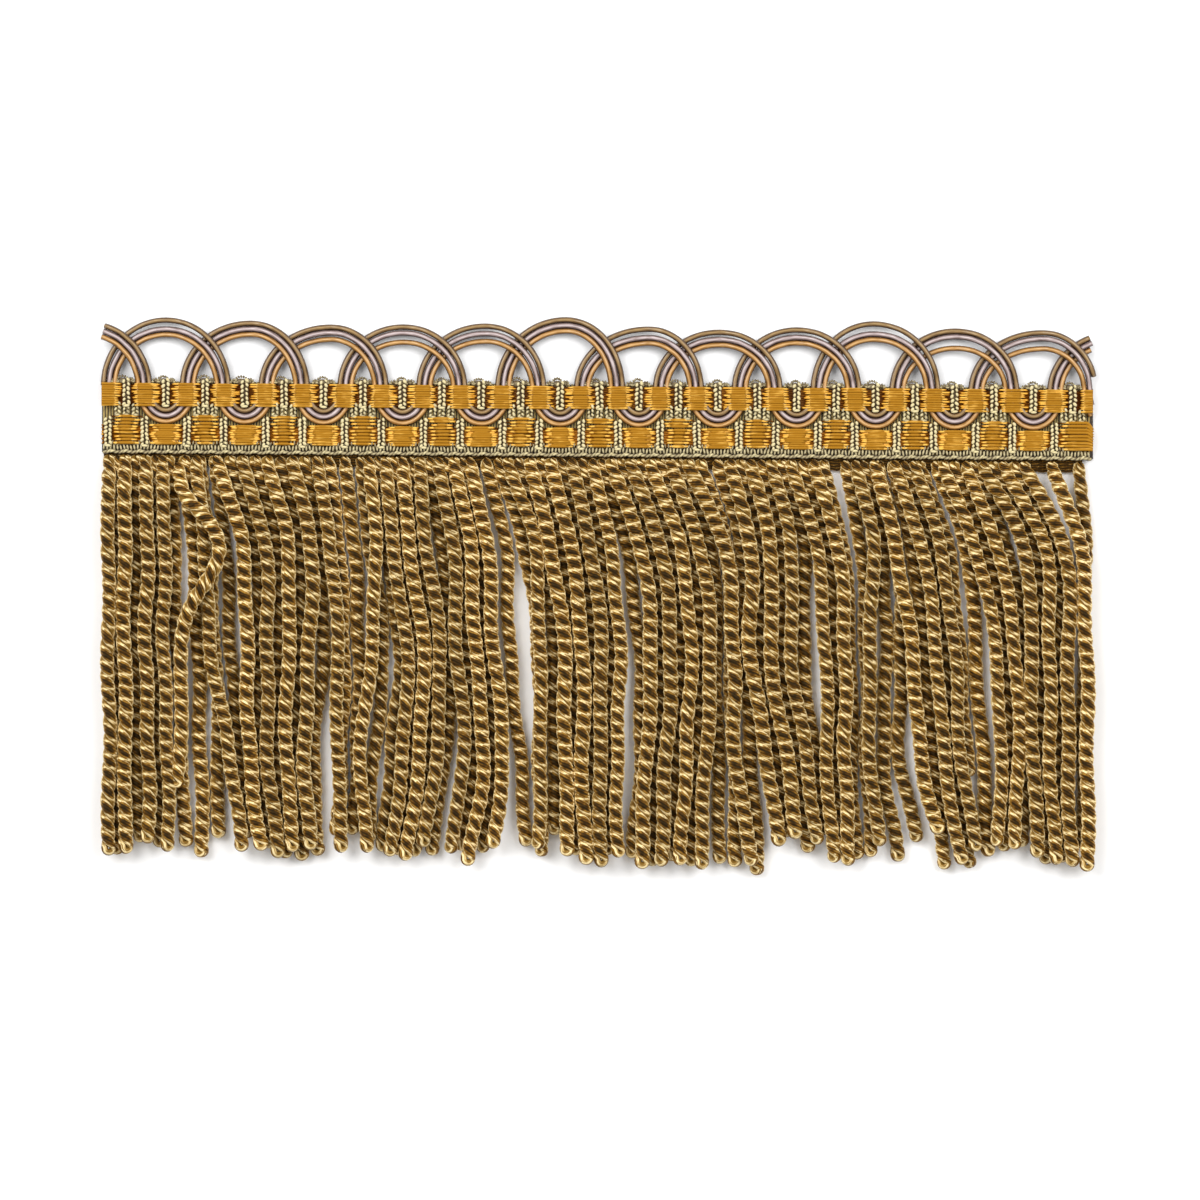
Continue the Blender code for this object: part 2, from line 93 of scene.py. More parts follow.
def add_node(tree: bpy.types.NodeTree, kind: str, links: dict, **settings) -> bpy.types.Node:
    """Add a node with its settings, values and links.

    Args:
        tree: The material's node tree.
        kind: The node's type name.
        links: Input name or number to an output socket, or to a plain value.
        settings: Properties of the node itself.

    Returns:
        The new node.
    """
    node = tree.nodes.new(kind)
    for name, value in settings.items():
        setattr(node, name, value)
    for key, value in links.items():
        if isinstance(value, bpy.types.NodeSocket):
            tree.links.new(value, node.inputs[key])
        else:
            node.inputs[key].default_value = value
    return node


def ramp(tree: bpy.types.NodeTree, value: bpy.types.NodeSocket,
         stops: list[tuple[float, str]]) -> bpy.types.NodeSocket:
    """Colour a value by a row of stops.

    Args:
        tree: The material's node tree.
        value: The value from 0 to 1.
        stops: Places and hex colours, in rising order.

    Returns:
        The colour socket.
    """
    node = add_node(tree, "ShaderNodeValToRGB", {0: value})
    points = node.color_ramp.elements
    while len(points) < len(stops):
        points.new(0.5)
    for point, (place, code) in zip(points, stops):
        point.position = place
        point.color = linear(code)
    return node.outputs[0]


def blank(name: str) -> tuple[bpy.types.Material, bpy.types.NodeTree, bpy.types.Node]:
    """Start a material with only its shader.

    Args:
        name: The material's name.

    Returns:
        The material, its tree and its Principled shader.
    """
    material = bpy.data.materials.new(name)
    material.use_nodes = True
    tree = material.node_tree
    return material, tree, tree.nodes["Principled BSDF"]


def math_node(tree: bpy.types.NodeTree, operation: str, *values) -> bpy.types.NodeSocket:
    """Add a Math node on values or sockets and return its output."""
    links = dict(enumerate(values))
    return add_node(tree, "ShaderNodeMath", links, operation=operation).outputs[0]


@dataclass(frozen=True)
class BullionRayon:
    """Rayon bullion yarn, spun and then twisted hard on itself.

    The yarn's own turn keeps step with the cord's, so its brown core comes up on every
    crest as a dark eye, and its light filaments lie round that eye as a rim. The colour
    is also painted lighter where a ply turns away from the top, a painted highlight that
    closes the rim round each eye, and darker past the rim towards the groove between the
    plies, as painted shade.
    """

    eye: str = "1C1003"
    eye_warm: str = "54340A"
    olive: str = "98702C"
    olive_low: str = "6A4A1A"
    rim: str = "F2DCA6"
    # painted shade: the rim darkens towards the groove between the plies
    rim_painted_shade: str = "C4A468"
    # painted shade, deepest towards the groove between the plies
    flank: str = "7A5A24"
    gleam: str = "E8C890"       # dyed filaments tint the light that they throw back
    gloss: float = 0.3          # hard-twisted filaments scatter most of the sheen
    close: float = 0.56         # how much lighter the ply is painted where it turns away from the top: a painted highlight that closes each eye
    lean: float = 0.06          # the eyes stand this much steeper than their plies
    filaments: float = 10.0     # coarser than real so that they show
    slant: float = 0.22         # filaments drift round the ply by this much in a millimetre
    rough: float = 0.5

    def make(self) -> bpy.types.Material:
        """Build the material."""
        material, tree, shader = blank("rayon_bullion_yarn")
        place = add_node(tree, "ShaderNodeUVMap", {}, uv_map="ply").outputs[0]
        tone = add_node(tree, "ShaderNodeUVMap", {}, uv_map="tone").outputs[0]
        round_it = add_node(tree, "ShaderNodeSeparateXYZ", {0: place}).outputs
        tint, facing = add_node(tree, "ShaderNodeSeparateXYZ", {0: tone}).outputs[:2]
        tilt = add_node(tree, "ShaderNodeUVMap", {}, uv_map="tilt").outputs[0]
        tilt = add_node(tree, "ShaderNodeSeparateXYZ", {0: tilt}).outputs[0]
        shifted = math_node(tree, "MULTIPLY_ADD", tilt, -self.lean, round_it[0])
        from_crest = math_node(tree, "ABSOLUTE", math_node(tree, "SUBTRACT", shifted, 0.5))
        drift = math_node(tree, "MULTIPLY", round_it[1], self.slant)
        phase = math_node(tree, "MULTIPLY_ADD", round_it[0], self.filaments, drift)
        threads = math_node(tree, "SINE", math_node(tree, "MULTIPLY", phase, math.tau))
        stretch = add_node(tree, "ShaderNodeCombineXYZ", {
            0: math_node(tree, "MULTIPLY", round_it[0], 11.0),
            1: math_node(tree, "MULTIPLY", round_it[1], 0.9),
            2: math_node(tree, "MULTIPLY", tint, 40.0)}).outputs[0]
        wander = add_node(tree, "ShaderNodeTexNoise", {"Vector": stretch, "Scale": 1.0,
                                                       "Detail": 3.0}).outputs[0]
        off = math_node(tree, "SUBTRACT", wander, 0.5)
        edge = math_node(tree, "MULTIPLY_ADD", off, 0.26, from_crest)
        edge = math_node(tree, "MULTIPLY_ADD", threads, 0.03, edge)
        # Lighter where the crest turns away from the top: a painted highlight.
        turned = math_node(tree, "SUBTRACT", 1.0, math_node(tree, "ABSOLUTE", facing))
        edge = math_node(tree, "MULTIPLY_ADD", turned, self.close / 2, edge)
        # The ramp runs from the dark eye to the light rim, then falls to painted shade towards the
        # groove.
        yarn = ramp(tree, math_node(tree, "MULTIPLY", edge, 2.0), [
            (0.10, self.eye), (0.23, self.eye_warm), (0.33, self.olive), (0.39, self.olive_low),
            (0.44, self.rim), (0.52, self.rim), (0.61, self.rim_painted_shade), (0.76, self.flank)])
        shade = math_node(tree, "MULTIPLY_ADD", tint, 0.30, 0.85)
        toned = add_node(tree, "ShaderNodeVectorMath", {0: yarn, "Scale": shade}, operation="SCALE")
        lift = math_node(tree, "MULTIPLY_ADD", off, 1.5, threads)
        bump = add_node(tree, "ShaderNodeBump", {"Height": lift, "Strength": 0.4,
                                                 "Distance": 0.00012})
        tree.links.new(toned.outputs[0], shader.inputs["Base Color"])
        tree.links.new(bump.outputs[0], shader.inputs["Normal"])
        shader.inputs["Roughness"].default_value = self.rough
        shader.inputs["IOR"].default_value = 1.50
        shader.inputs["Specular Tint"].default_value = linear(self.gleam)
        shader.inputs["Specular IOR Level"].default_value = self.gloss
        return material


@dataclass(frozen=True)
class WovenSatin:
    """Filament rayon laid as weft floats: a silky gold, coloured by height, with painted highlights
    on its bends and fingers and painted shade that falls to brown where it dips.
    """

    name: str
    low_mm: float
    high_mm: float
    flat: str = "A06E1A"
    # painted highlight where the yarn bends down from its crown
    bend: str = "F2BE58"
    # painted highlight on the fingers' crests
    finger: str = "DCA038"
    # painted shade in the dips, deepest under the ribs
    shade: str = "9A5C10"
    deep_shade: str = "481F04"
    gleam: str = "F0C878"       # dyed filaments tint the light that they throw back
    rough: float = 0.45

    def make(self) -> bpy.types.Material:
        """Build the material."""
        material, tree, shader = blank(self.name)
        place = add_node(tree, "ShaderNodeTexCoord", {}).outputs["Object"]
        height = add_node(tree, "ShaderNodeSeparateXYZ", {0: place}).outputs[2]
        share = add_node(tree, "ShaderNodeMapRange",
                         {0: height, 1: self.low_mm * MM, 2: self.high_mm * MM}).outputs[0]
        long_grain = add_node(tree, "ShaderNodeMapping", {0: place, 3: (220.0, 3400.0, 500.0)})
        grain = add_node(tree, "ShaderNodeTexNoise", {"Vector": long_grain.outputs[0], "Scale": 1.0,
                                                      "Detail": 3.0}).outputs[0]
        patches = add_node(tree, "ShaderNodeTexNoise", {"Vector": place, "Scale": 230.0,
                                                        "Detail": 2.0}).outputs[0]
        off = math_node(tree, "SUBTRACT", grain, 0.5)
        wide = math_node(tree, "SUBTRACT", patches, 0.5)
        mixed = math_node(tree, "MULTIPLY_ADD", off, 0.4, share)
        mixed = math_node(tree, "MULTIPLY_ADD", wide, 0.3, mixed)
        # Colour by height: painted shade low in the dips, painted highlights on the fingers and the
        # bends, the satin's mid gold on the flat crown.
        colour = ramp(tree, mixed, [(0.05, self.deep_shade), (0.22, self.shade), (0.42, self.finger),
                                    (0.62, self.bend), (0.84, self.bend), (0.97, self.flat)])
        bump = add_node(tree, "ShaderNodeBump", {"Height": grain, "Strength": 0.4,
                                                 "Distance": 0.00012})
        tree.links.new(colour, shader.inputs["Base Color"])
        tree.links.new(bump.outputs[0], shader.inputs["Normal"])
        shader.inputs["Roughness"].default_value = self.rough
        shader.inputs["IOR"].default_value = 1.50
        shader.inputs["Specular Tint"].default_value = linear(self.gleam)
        return material


@dataclass(frozen=True)
class SpunYarn:
    """Dull spun yarn of the ground and the chain stitches, coloured by height: painted light on the
    crowns and painted shade in the hollows.
    """

    name: str
    crown: str
    hollow_shade: str
    low_mm: float
    high_mm: float
    rough: float = 0.62

    def make(self) -> bpy.types.Material:
        """Build the material."""
        material, tree, shader = blank(self.name)
        place = add_node(tree, "ShaderNodeTexCoord", {}).outputs["Object"]
        height = add_node(tree, "ShaderNodeSeparateXYZ", {0: place}).outputs[2]
        share = add_node(tree, "ShaderNodeMapRange",
                         {0: height, 1: self.low_mm * MM, 2: self.high_mm * MM}).outputs[0]
        fuzz = add_node(tree, "ShaderNodeTexNoise", {"Vector": place, "Scale": 1500.0,
                                                     "Detail": 3.0}).outputs[0]
        mixed = math_node(tree, "MULTIPLY_ADD", math_node(tree, "SUBTRACT", fuzz, 0.5), 0.7, share)
        # painted shade low in the hollows, rising to the pale crowns
        colour = ramp(tree, mixed, [(0.1, self.hollow_shade), (0.75, self.crown)])
        bump = add_node(tree, "ShaderNodeBump", {"Height": fuzz, "Strength": 0.5,
                                                 "Distance": 0.00015})
        tree.links.new(colour, shader.inputs["Base Color"])
        tree.links.new(bump.outputs[0], shader.inputs["Normal"])
        shader.inputs["Roughness"].default_value = self.rough
        shader.inputs["IOR"].default_value = 1.50
        shader.inputs["Sheen Weight"].default_value = 0.2
        return material


@dataclass(frozen=True)
class GimpWinding:
    """Filament rayon wound close round a core: a smooth cord, painted with a lengthwise highlight
    along its top and painted shade down its sides.
    """

    name: str
    crest_highlight: str
    middle: str
    shade: str
    winds: float = 2.2          # turns in a millimetre, coarser than real so that they show
    rough: float = 0.30

    def make(self) -> bpy.types.Material:
        """Build the material."""
        material, tree, shader = blank(self.name)
        place = add_node(tree, "ShaderNodeUVMap", {}, uv_map="ply").outputs[0]
        round_it = add_node(tree, "ShaderNodeSeparateXYZ", {0: place}).outputs
        phase = math_node(tree, "MULTIPLY_ADD", round_it[1], self.winds, round_it[0])
        winding = math_node(tree, "SINE", math_node(tree, "MULTIPLY", phase, math.tau))
        crest = math_node(tree, "ABSOLUTE", math_node(tree, "SUBTRACT", round_it[0], 0.5))
        stretch = add_node(tree, "ShaderNodeCombineXYZ", {
            0: math_node(tree, "MULTIPLY", round_it[0], 16.0),
            1: math_node(tree, "MULTIPLY", round_it[1], 0.35)}).outputs[0]
        streaks = add_node(tree, "ShaderNodeTexNoise", {"Vector": stretch, "Scale": 1.0,
                                                        "Detail": 3.0}).outputs[0]
        off = math_node(tree, "SUBTRACT", streaks, 0.5)
        near = math_node(tree, "MULTIPLY_ADD", off, 0.2, crest)
        # Painted light: a highlight where the cord's top faces up, falling to painted shade on its
        # sides.
        colour = ramp(tree, near, [(0.0, self.crest_highlight), (0.075, self.middle), (0.175, self.shade)])
        bump = add_node(tree, "ShaderNodeBump", {"Height": winding, "Strength": 0.08,
                                                 "Distance": 0.00004})
        tree.links.new(colour, shader.inputs["Base Color"])
        tree.links.new(bump.outputs[0], shader.inputs["Normal"])
        shader.inputs["Roughness"].default_value = self.rough
        shader.inputs["IOR"].default_value = 1.50
        return material


@dataclass(frozen=True)
class PaleTable:
    """A matt white table top, with a faint tooth."""

    colour: str = "FBFBFB"

    def make(self) -> bpy.types.Material:
        """Build the material."""
        material, tree, shader = blank("matt_white_table")
        place = add_node(tree, "ShaderNodeTexCoord", {}).outputs["Object"]
        tooth = add_node(tree, "ShaderNodeTexNoise", {"Vector": place, "Scale": 900.0}).outputs[0]
        bump = add_node(tree, "ShaderNodeBump", {"Height": tooth, "Strength": 0.05,
                                                 "Distance": 0.0001})
        tree.links.new(bump.outputs[0], shader.inputs["Normal"])
        shader.inputs["Base Color"].default_value = linear(self.colour)
        shader.inputs["Roughness"].default_value = 0.8
        return material


class YarnBatch:
    """Round yarns gathered into one mesh, each a closed tube along its own path."""

    def __init__(self, sides: int) -> None:
        """Start an empty batch of tubes with this many sides."""
        self.sides = sides
        self.rings: list[np.ndarray] = []
        self.quads: list[np.ndarray] = []
        self.caps: list[list[int]] = []
        self.marks: list[np.ndarray] = []
        self.tones: list[np.ndarray] = []
        self.tilts: list[np.ndarray] = []
        self.count = 0

    def add(self, path: np.ndarray, outward: np.ndarray, radius: np.ndarray | float,
            tone: float = 0.5, spread: float = 1.0, facing: np.ndarray | float = 1.0) -> None:
        """Add one tube.

        Args:
            path: The middle line, a row for each point.
            outward: The direction of the tube's crest at each point.
            radius: The tube's radius, one for all or one for each point.
            tone: The tube's own shade, from 0 to 1.
            spread: How much wider the tube is than it is high.
            facing: How far the crest faces out of the trim's front at each point, -1 to 1.
        """
        run = np.gradient(path, axis=0)
        run /= np.linalg.norm(run, axis=1, keepdims=True)
        crest = outward - run * np.sum(outward * run, axis=1, keepdims=True)
        crest /= np.linalg.norm(crest, axis=1, keepdims=True)
        flank = np.cross(run, crest)
        sides = self.sides
        turns = (np.arange(sides) / sides * 2 - 1) * math.pi
        wide = np.broadcast_to(np.asarray(radius, dtype=float), (len(path),))[:, None, None]
        ring = (crest[:, None, :] * np.cos(turns)[None, :, None]
                + flank[:, None, :] * np.sin(turns)[None, :, None] * spread)
        self.rings.append((path[:, None, :] + ring * wide).reshape(-1, 3))
        steps = np.arange(len(path) - 1)[:, None] * sides + self.count
        here = np.arange(sides)[None, :]
        ahead = (here + 1) % sides
        quad = np.stack([steps + here, steps + ahead, steps + sides + ahead,
                         steps + sides + here], axis=-1)
        self.quads.append(quad.reshape(-1, 4))
        lengths = np.concatenate([[0.0], np.cumsum(np.linalg.norm(np.diff(path, axis=0), axis=1))])
        start = np.broadcast_to(lengths[:-1, None], (len(path) - 1, sides))
        stop = np.broadcast_to(lengths[1:, None], (len(path) - 1, sides))
        left = np.broadcast_to(here / sides, start.shape)
        right = left + 1 / sides
        mark = np.stack([np.stack([left, start], -1), np.stack([right, start], -1),
                         np.stack([right, stop], -1), np.stack([left, stop], -1)], axis=2)
        self.marks.append(mark.reshape(-1, 2))
        faced = self.on_corners(np.broadcast_to(np.asarray(facing, dtype=float), (len(path),)))
        self.tones.append(np.stack([np.full(len(faced), tone), faced], axis=1))
        self.tilts.append(self.on_corners(-crest[:, 0] * run[:, 1]))
        last = self.count + (len(path) - 1) * sides
        self.caps.append(list(range(self.count + sides - 1, self.count - 1, -1)))
        self.caps.append(list(range(last, last + sides)))
        self.count += len(path) * sides

    def on_corners(self, values: np.ndarray) -> np.ndarray:
        """Spread a value for each ring over the corners of the faces between the rings."""
        ends = np.stack([values[:-1], values[:-1], values[1:], values[1:]], axis=1)
        return np.repeat(ends[:, None, :], self.sides, axis=1).ravel()

    def build(self, name: str) -> bpy.types.Object:
        """Make the batch's object.

        Args:
            name: The object's name.

        Returns:
            The object, smooth, with its maps "ply", "tone" and "tilt".
        """
        verts = np.concatenate(self.rings)
        verts[:, 1] -= FALL * verts[:, 0]
        faces = np.concatenate(self.quads).tolist() + self.caps
        mesh = bpy.data.meshes.new(name)
        mesh.from_pydata((verts * MM).tolist(), [], faces)
        marks = np.concatenate(self.marks)
        tones = np.concatenate(self.tones)
        spare = sum(len(cap) for cap in self.caps)
        marks = np.concatenate([marks, np.zeros((spare, 2))])
        tones = np.concatenate([tones, np.full((spare, 2), 0.5)])
        mesh.uv_layers.new(name="ply").uv.foreach_set("vector", marks.ravel())
        mesh.uv_layers.new(name="tone").uv.foreach_set("vector", tones.ravel())
        tilts = np.concatenate(self.tilts + [np.zeros(spare)])
        tilts = np.stack([tilts, np.zeros(len(tilts))], axis=1)
        mesh.uv_layers.new(name="tilt").uv.foreach_set("vector", tilts.ravel())
        mesh.shade_smooth()
        return place_object(name, mesh)


class StitchBatch:
    """Many small stitches, each a moved copy of one soft bead, in one mesh."""

    def __init__(self, around: int = 8, along: int = 5) -> None:
        """Model the bead: a small ball, as long as it is wide until a stitch is added."""
        bm = bmesh.new()
        bmesh.ops.create_uvsphere(bm, u_segments=around, v_segments=along, radius=0.5)
        bmesh.ops.rotate(bm, verts=bm.verts, matrix=Matrix.Rotation(math.pi / 2, 3, "X"))
        bm.verts.ensure_lookup_table()
        self.bead = np.array([vert.co for vert in bm.verts])
        self.faces = [[vert.index for vert in face.verts] for face in bm.faces]
        bm.free()
        self.copies: list[np.ndarray] = []

    def add(self, centre: tuple[float, float, float], size: tuple[float, float, float],
            turn: float = 0.0) -> None:
        """Add a stitch.

        Args:
            centre: Its middle.
            size: Its width, length and height before it is turned.
            turn: Its turn on the heading's face, in degrees.
        """
        cos, sin = math.cos(math.radians(turn)), math.sin(math.radians(turn))
        flat = self.bead * np.array(size)
        turned = np.stack([flat[:, 0] * cos - flat[:, 1] * sin,
                           flat[:, 0] * sin + flat[:, 1] * cos, flat[:, 2]], axis=1)
        self.copies.append(turned + np.array(centre))

    def build(self, name: str) -> bpy.types.Object:
        """Make the batch's object from its stitches."""
        step = len(self.bead)
        faces = [[corner + step * number for corner in face]
                 for number in range(len(self.copies)) for face in self.faces]
        verts = np.concatenate(self.copies)
        verts[:, 1] -= FALL * verts[:, 0]
        mesh = bpy.data.meshes.new(name)
        mesh.from_pydata((verts * MM).tolist(), [], faces)
        mesh.shade_smooth()
        return place_object(name, mesh)


def place_object(name: str, mesh: bpy.types.Mesh) -> bpy.types.Object:
    """Put a mesh in the scene at the origin, riding on the trim's body."""
    thing = bpy.data.objects.new(name, mesh)
    bpy.context.scene.collection.objects.link(thing)
    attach(thing, BODY)
    return thing


def dress(thing: bpy.types.Object, material: bpy.types.Material, finish: Finish,
          *nodes: str) -> None:
    """Give a piece its material, and hide the solids that it stands for."""
    thing.data.materials.append(material)
    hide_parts(*nodes)
    LOG.info("%s: %d faces", thing.name, len(thing.data.polygons))


def smooth(share: float) -> float:
    """An S-shaped step from 0 to 1."""
    share = min(max(share, 0.0), 1.0)
    return share * share * (3 - 2 * share)


class Lock(NamedTuple):
    """Neighbouring cords of one row that hang together, as in the solids.

    root is the first cord's place, and upper to tip are its drift from there at the
    heights in LEVELS. pitch_root and pitch_tip set the cords side by side, reach is the
    mean height of the tips, and floor is 1 where front cords lie on the surface.
    """

    cords: int
    root: float
    upper: float
    middle: float
    lower: float
    tip: float
    pitch_root: float
    pitch_tip: float
    reach: float
    floor: float


FRONT_LOCKS = (
    Lock(2, -133.2, 0.0, 0.0, 0.3, 0.0, 4.4, 4.4, -71.5, 0),
    Lock(2, -123.3, 0.8, 0.2, 1.1, 1.1, 4.6, 5.4, -70.5, 0),
    Lock(1, -109.5, 2.5, 4.1, 9.5, 12.8, 0.0, 0.0, -70.5, 0),
    Lock(4, -103.7, 6.8, 8.2, 9.0, 12.3, 6.8, 4.4, -70.5, 0),
    Lock(1, -76.5, 3.8, 5.7, 5.7, 7.1, 0.0, 0.0, -72.0, 0),
    Lock(1, -62.3, 1.9, 0.8, -2.2, -0.5, 0.0, 0.0, -68.5, 0),
    Lock(3, -57.7, 1.9, 5.7, 4.6, 1.1, 4.6, 4.5, -70.5, 0),
    Lock(3, -43.5, 4.1, 5.2, 7.1, 3.0, 4.4, 5.7, -71.5, 0),
    Lock(1, -30.4, 5.2, 6.4, 9.3, 11.1, 0.0, 0.0, -71.0, 1),
    Lock(1, -24.4, 7.4, 8.5, 9.0, 7.9, 0.0, 0.0, -70.0, 0),
    Lock(4, -18.4, 5.5, 9.3, 9.5, 10.6, 5.7, 4.4, -71.5, 0),
    Lock(4, 3.7, 7.9, 10.9, 9.5, 8.2, 5.4, 5.4, -72.0, 0),
    Lock(1, 24.7, 9.8, 12.3, 12.8, 17.4, 0.0, 0.0, -73.0, 0),
    Lock(3, 36.1, 5.5, 5.5, 10.1, 13.6, 5.7, 5.3, -67.5, 0),
    Lock(2, 52.7, 6.8, 9.3, 9.8, 11.4, 6.3, 4.4, -73.0, 0),
    Lock(1, 70.5, 4.6, 3.5, 3.8, 6.5, 0.0, 0.0, -68.5, 0),
    Lock(1, 75.9, 5.2, 9.8, 12.3, 18.8, 0.0, 0.0, -64.0, 0),
    Lock(2, 81.1, 7.1, 11.2, 13.4, 18.0, 5.4, 4.4, -71.5, 0),
    Lock(2, 94.2, 8.7, 14.2, 15.5, 14.7, 6.3, 4.4, -70.0, 0),
    Lock(3, 105.1, 11.2, 12.8, 13.4, 15.0, 5.7, 4.5, -71.5, 0),
    Lock(1, 124.0, 7.5, 9.1, 9.4, 9.4, 0.0, 0.0, -73.0, 0),
)

BACK_LOCKS = (
    Lock(1, -125.9, 0.1, -0.3, 0.1, 1.2, 0.0, 0.0, -70.0, 0),
    Lock(1, -116.9, 1.2, 2.2, 3.6, 4.4, 0.0, 0.0, -67.0, 0),
    Lock(1, -112.7, 2.2, 3.6, 4.4, 4.9, 0.0, 0.0, -70.0, 0),
    Lock(1, -108.6, 2.3, 4.1, 5.2, 4.8, 0.0, 0.0, -69.0, 0),
    Lock(1, -104.5, 2.9, 4.4, 6.5, 9.8, 0.0, 0.0, -67.0, 0),
    Lock(1, -80.0, 3.8, 5.2, 2.4, 3.9, 0.0, 0.0, -69.5, 0),
    Lock(1, -73.3, 2.5, 4.0, 3.3, 2.0, 0.0, 0.0, -68.5, 0),
    Lock(1, -68.9, 2.4, 3.8, 3.3, 1.9, 0.0, 0.0, -68.0, 0),
    Lock(1, -64.6, 2.4, 6.2, 3.6, 1.8, 0.0, 0.0, -66.0, 0),
    Lock(1, -60.0, 2.0, 6.0, 3.6, 1.4, 0.0, 0.0, -70.0, 0),
    Lock(1, -46.0, 3.1, 5.5, 4.4, 0.5, 0.0, 0.0, -69.5, 0),
    Lock(1, -27.0, 6.8, 10.8, 11.0, 11.9, 0.0, 0.0, -70.5, 0),
    Lock(1, -21.4, 6.3, 9.5, 9.5, 10.4, 0.0, 0.0, -66.0, 0),
    Lock(1, 1.0, 6.6, 10.3, 10.6, 8.5, 0.0, 0.0, -70.0, 0),
    Lock(1, 22.2, 8.7, 10.0, 10.6, 11.2, 0.0, 0.0, -74.0, 0),
    Lock(1, 28.1, 7.2, 8.1, 9.1, 9.7, 0.0, 0.0, -71.5, 0),
    Lock(1, 32.8, 6.7, 7.4, 9.1, 10.7, 0.0, 0.0, -74.25, 0),
    Lock(1, 50.3, 6.0, 5.8, 8.8, 11.6, 0.0, 0.0, -66.5, 0),
    Lock(1, 61.6, 5.2, 7.4, 7.7, 9.0, 0.0, 0.0, -71.0, 0),
    Lock(1, 67.7, 4.0, 5.5, 5.7, 7.0, 0.0, 0.0, -70.5, 0),
    Lock(1, 72.6, 4.7, 6.2, 5.5, 9.4, 0.0, 0.0, -72.5, 0),
    Lock(1, 76.6, 4.9, 6.3, 5.9, 12.2, 0.0, 0.0, -66.5, 0),
    Lock(1, 80.6, 5.2, 8.5, 11.1, 14.2, 0.0, 0.0, -73.5, 0),
    Lock(1, 88.1, 7.5, 10.7, 12.8, 15.0, 0.0, 0.0, -46.5, 0),
    Lock(1, 92.5, 8.2, 10.6, 12.7, 14.2, 0.0, 0.0, -71.5, 0),
    Lock(1, 102.6, 9.1, 13.1, 13.7, 13.4, 0.0, 0.0, -70.0, 0),
    Lock(1, 131.4, 1.8, 1.2, 1.0, 0.9, 0.0, 0.0, -70.5, 0),
)

ROOT_EDGE = 35.8
LEVELS = (ROOT_EDGE, 13.9, -14.7, -44.7, -70.6)
TIP_SPREAD = 2.5


class Bend(NamedTuple):
    """A place on the tangled cord: where it is, and how far it is raised over the front row."""

    along: float
    height: float
    raised: float


TANGLE = (
    Bend(-114.4, ROOT_EDGE, 0.0),
    Bend(-113.9, 31.5, 0.0),
    Bend(-112.9, 27.2, 1.6),
    Bend(-110.0, 24.0, 4.1),
    Bend(-106.2, 20.6, 4.1),
    Bend(-102.8, 15.0, 4.1),
    Bend(-102.6, 9.5, 4.1),
    Bend(-105.8, 3.6, 4.1),
    Bend(-110.2, -2.6, 4.1),
    Bend(-112.8, -9.0, 1.6),
    Bend(-113.6, -18.0, 0.0),
    Bend(-113.0, -38.0, 0.0),
    Bend(-114.6, -55.0, 0.0),
)


class HungCord(NamedTuple):
    """One cord of the skirt: its root, its drift at LEVELS, its tip and its floor mark."""

    root: float
    drift: tuple[float, ...]
    reach: float
    floor: float


def through(values: tuple[float, ...], height: float) -> float:
    """The drift at a height, on a smooth curve through the table's columns.

    Args:
        values: The drift at each of LEVELS.
        height: The height asked for.

    Returns:
        The drift there.
    """
    last = len(LEVELS) - 1
    upper = max(index for index in range(last) if height <= LEVELS[index] or index == 0)
    span = LEVELS[upper + 1] - LEVELS[upper]
    share = (height - LEVELS[upper]) / span
    slopes = []
    for index in (upper, upper + 1):
        before = max(index - 1, 0)
        after = min(index + 1, last)
        slopes.append((values[after] - values[before]) / (LEVELS[after] - LEVELS[before]) * span)
    square = share * share
    cube = square * share
    return ((2 * cube - 3 * square + 1) * values[upper] + (cube - 2 * square + share) * slopes[0]
            + (3 * square - 2 * cube) * values[upper + 1] + (cube - square) * slopes[1])


def spread_lock(lock: Lock, first: float, count: int, chance: random.Random) -> list[HungCord]:
    """Cords of a lock.

    Args:
        lock: The lock.
        first: The first cord's place, counted in pitches.
        count: How many cords.
        chance: The seeded source of the tips' unevenness.

    Returns:
        The cords, from left to right.
    """
    cords = []
    for number in range(count):
        place = first + number
        widening = lock.pitch_tip - lock.pitch_root
        shares = [(LEVELS[0] - level) / (LEVELS[0] - LEVELS[-1]) for level in LEVELS]
        drift = (0.0, lock.upper, lock.middle, lock.lower, lock.tip)
        drift = tuple(value + place * widening * share for value, share in zip(drift, shares))
        reach = lock.reach + chance.uniform(-TIP_SPREAD, TIP_SPREAD)
        cords.append(HungCord(lock.root + place * lock.pitch_root, drift, reach, lock.floor))
    return cords


def front_cords() -> list[HungCord]:
    """The front row, from left to right."""
    chance = random.Random(SEED)
    return [cord for lock in FRONT_LOCKS for cord in spread_lock(lock, 0, lock.cords, chance)]


def back_cords() -> list[HungCord]:
    """The back row: in the valleys of each front lock, and the loose ones between locks."""
    chance = random.Random(SEED + 1)
    cords = [cord for lock in FRONT_LOCKS
             for cord in spread_lock(lock, 0.5, lock.cords - 1, chance)]
    cords += [cord for lock in BACK_LOCKS for cord in spread_lock(lock, 0, lock.cords, chance)]
    return sorted(cords, key=lambda cord: cord.root)


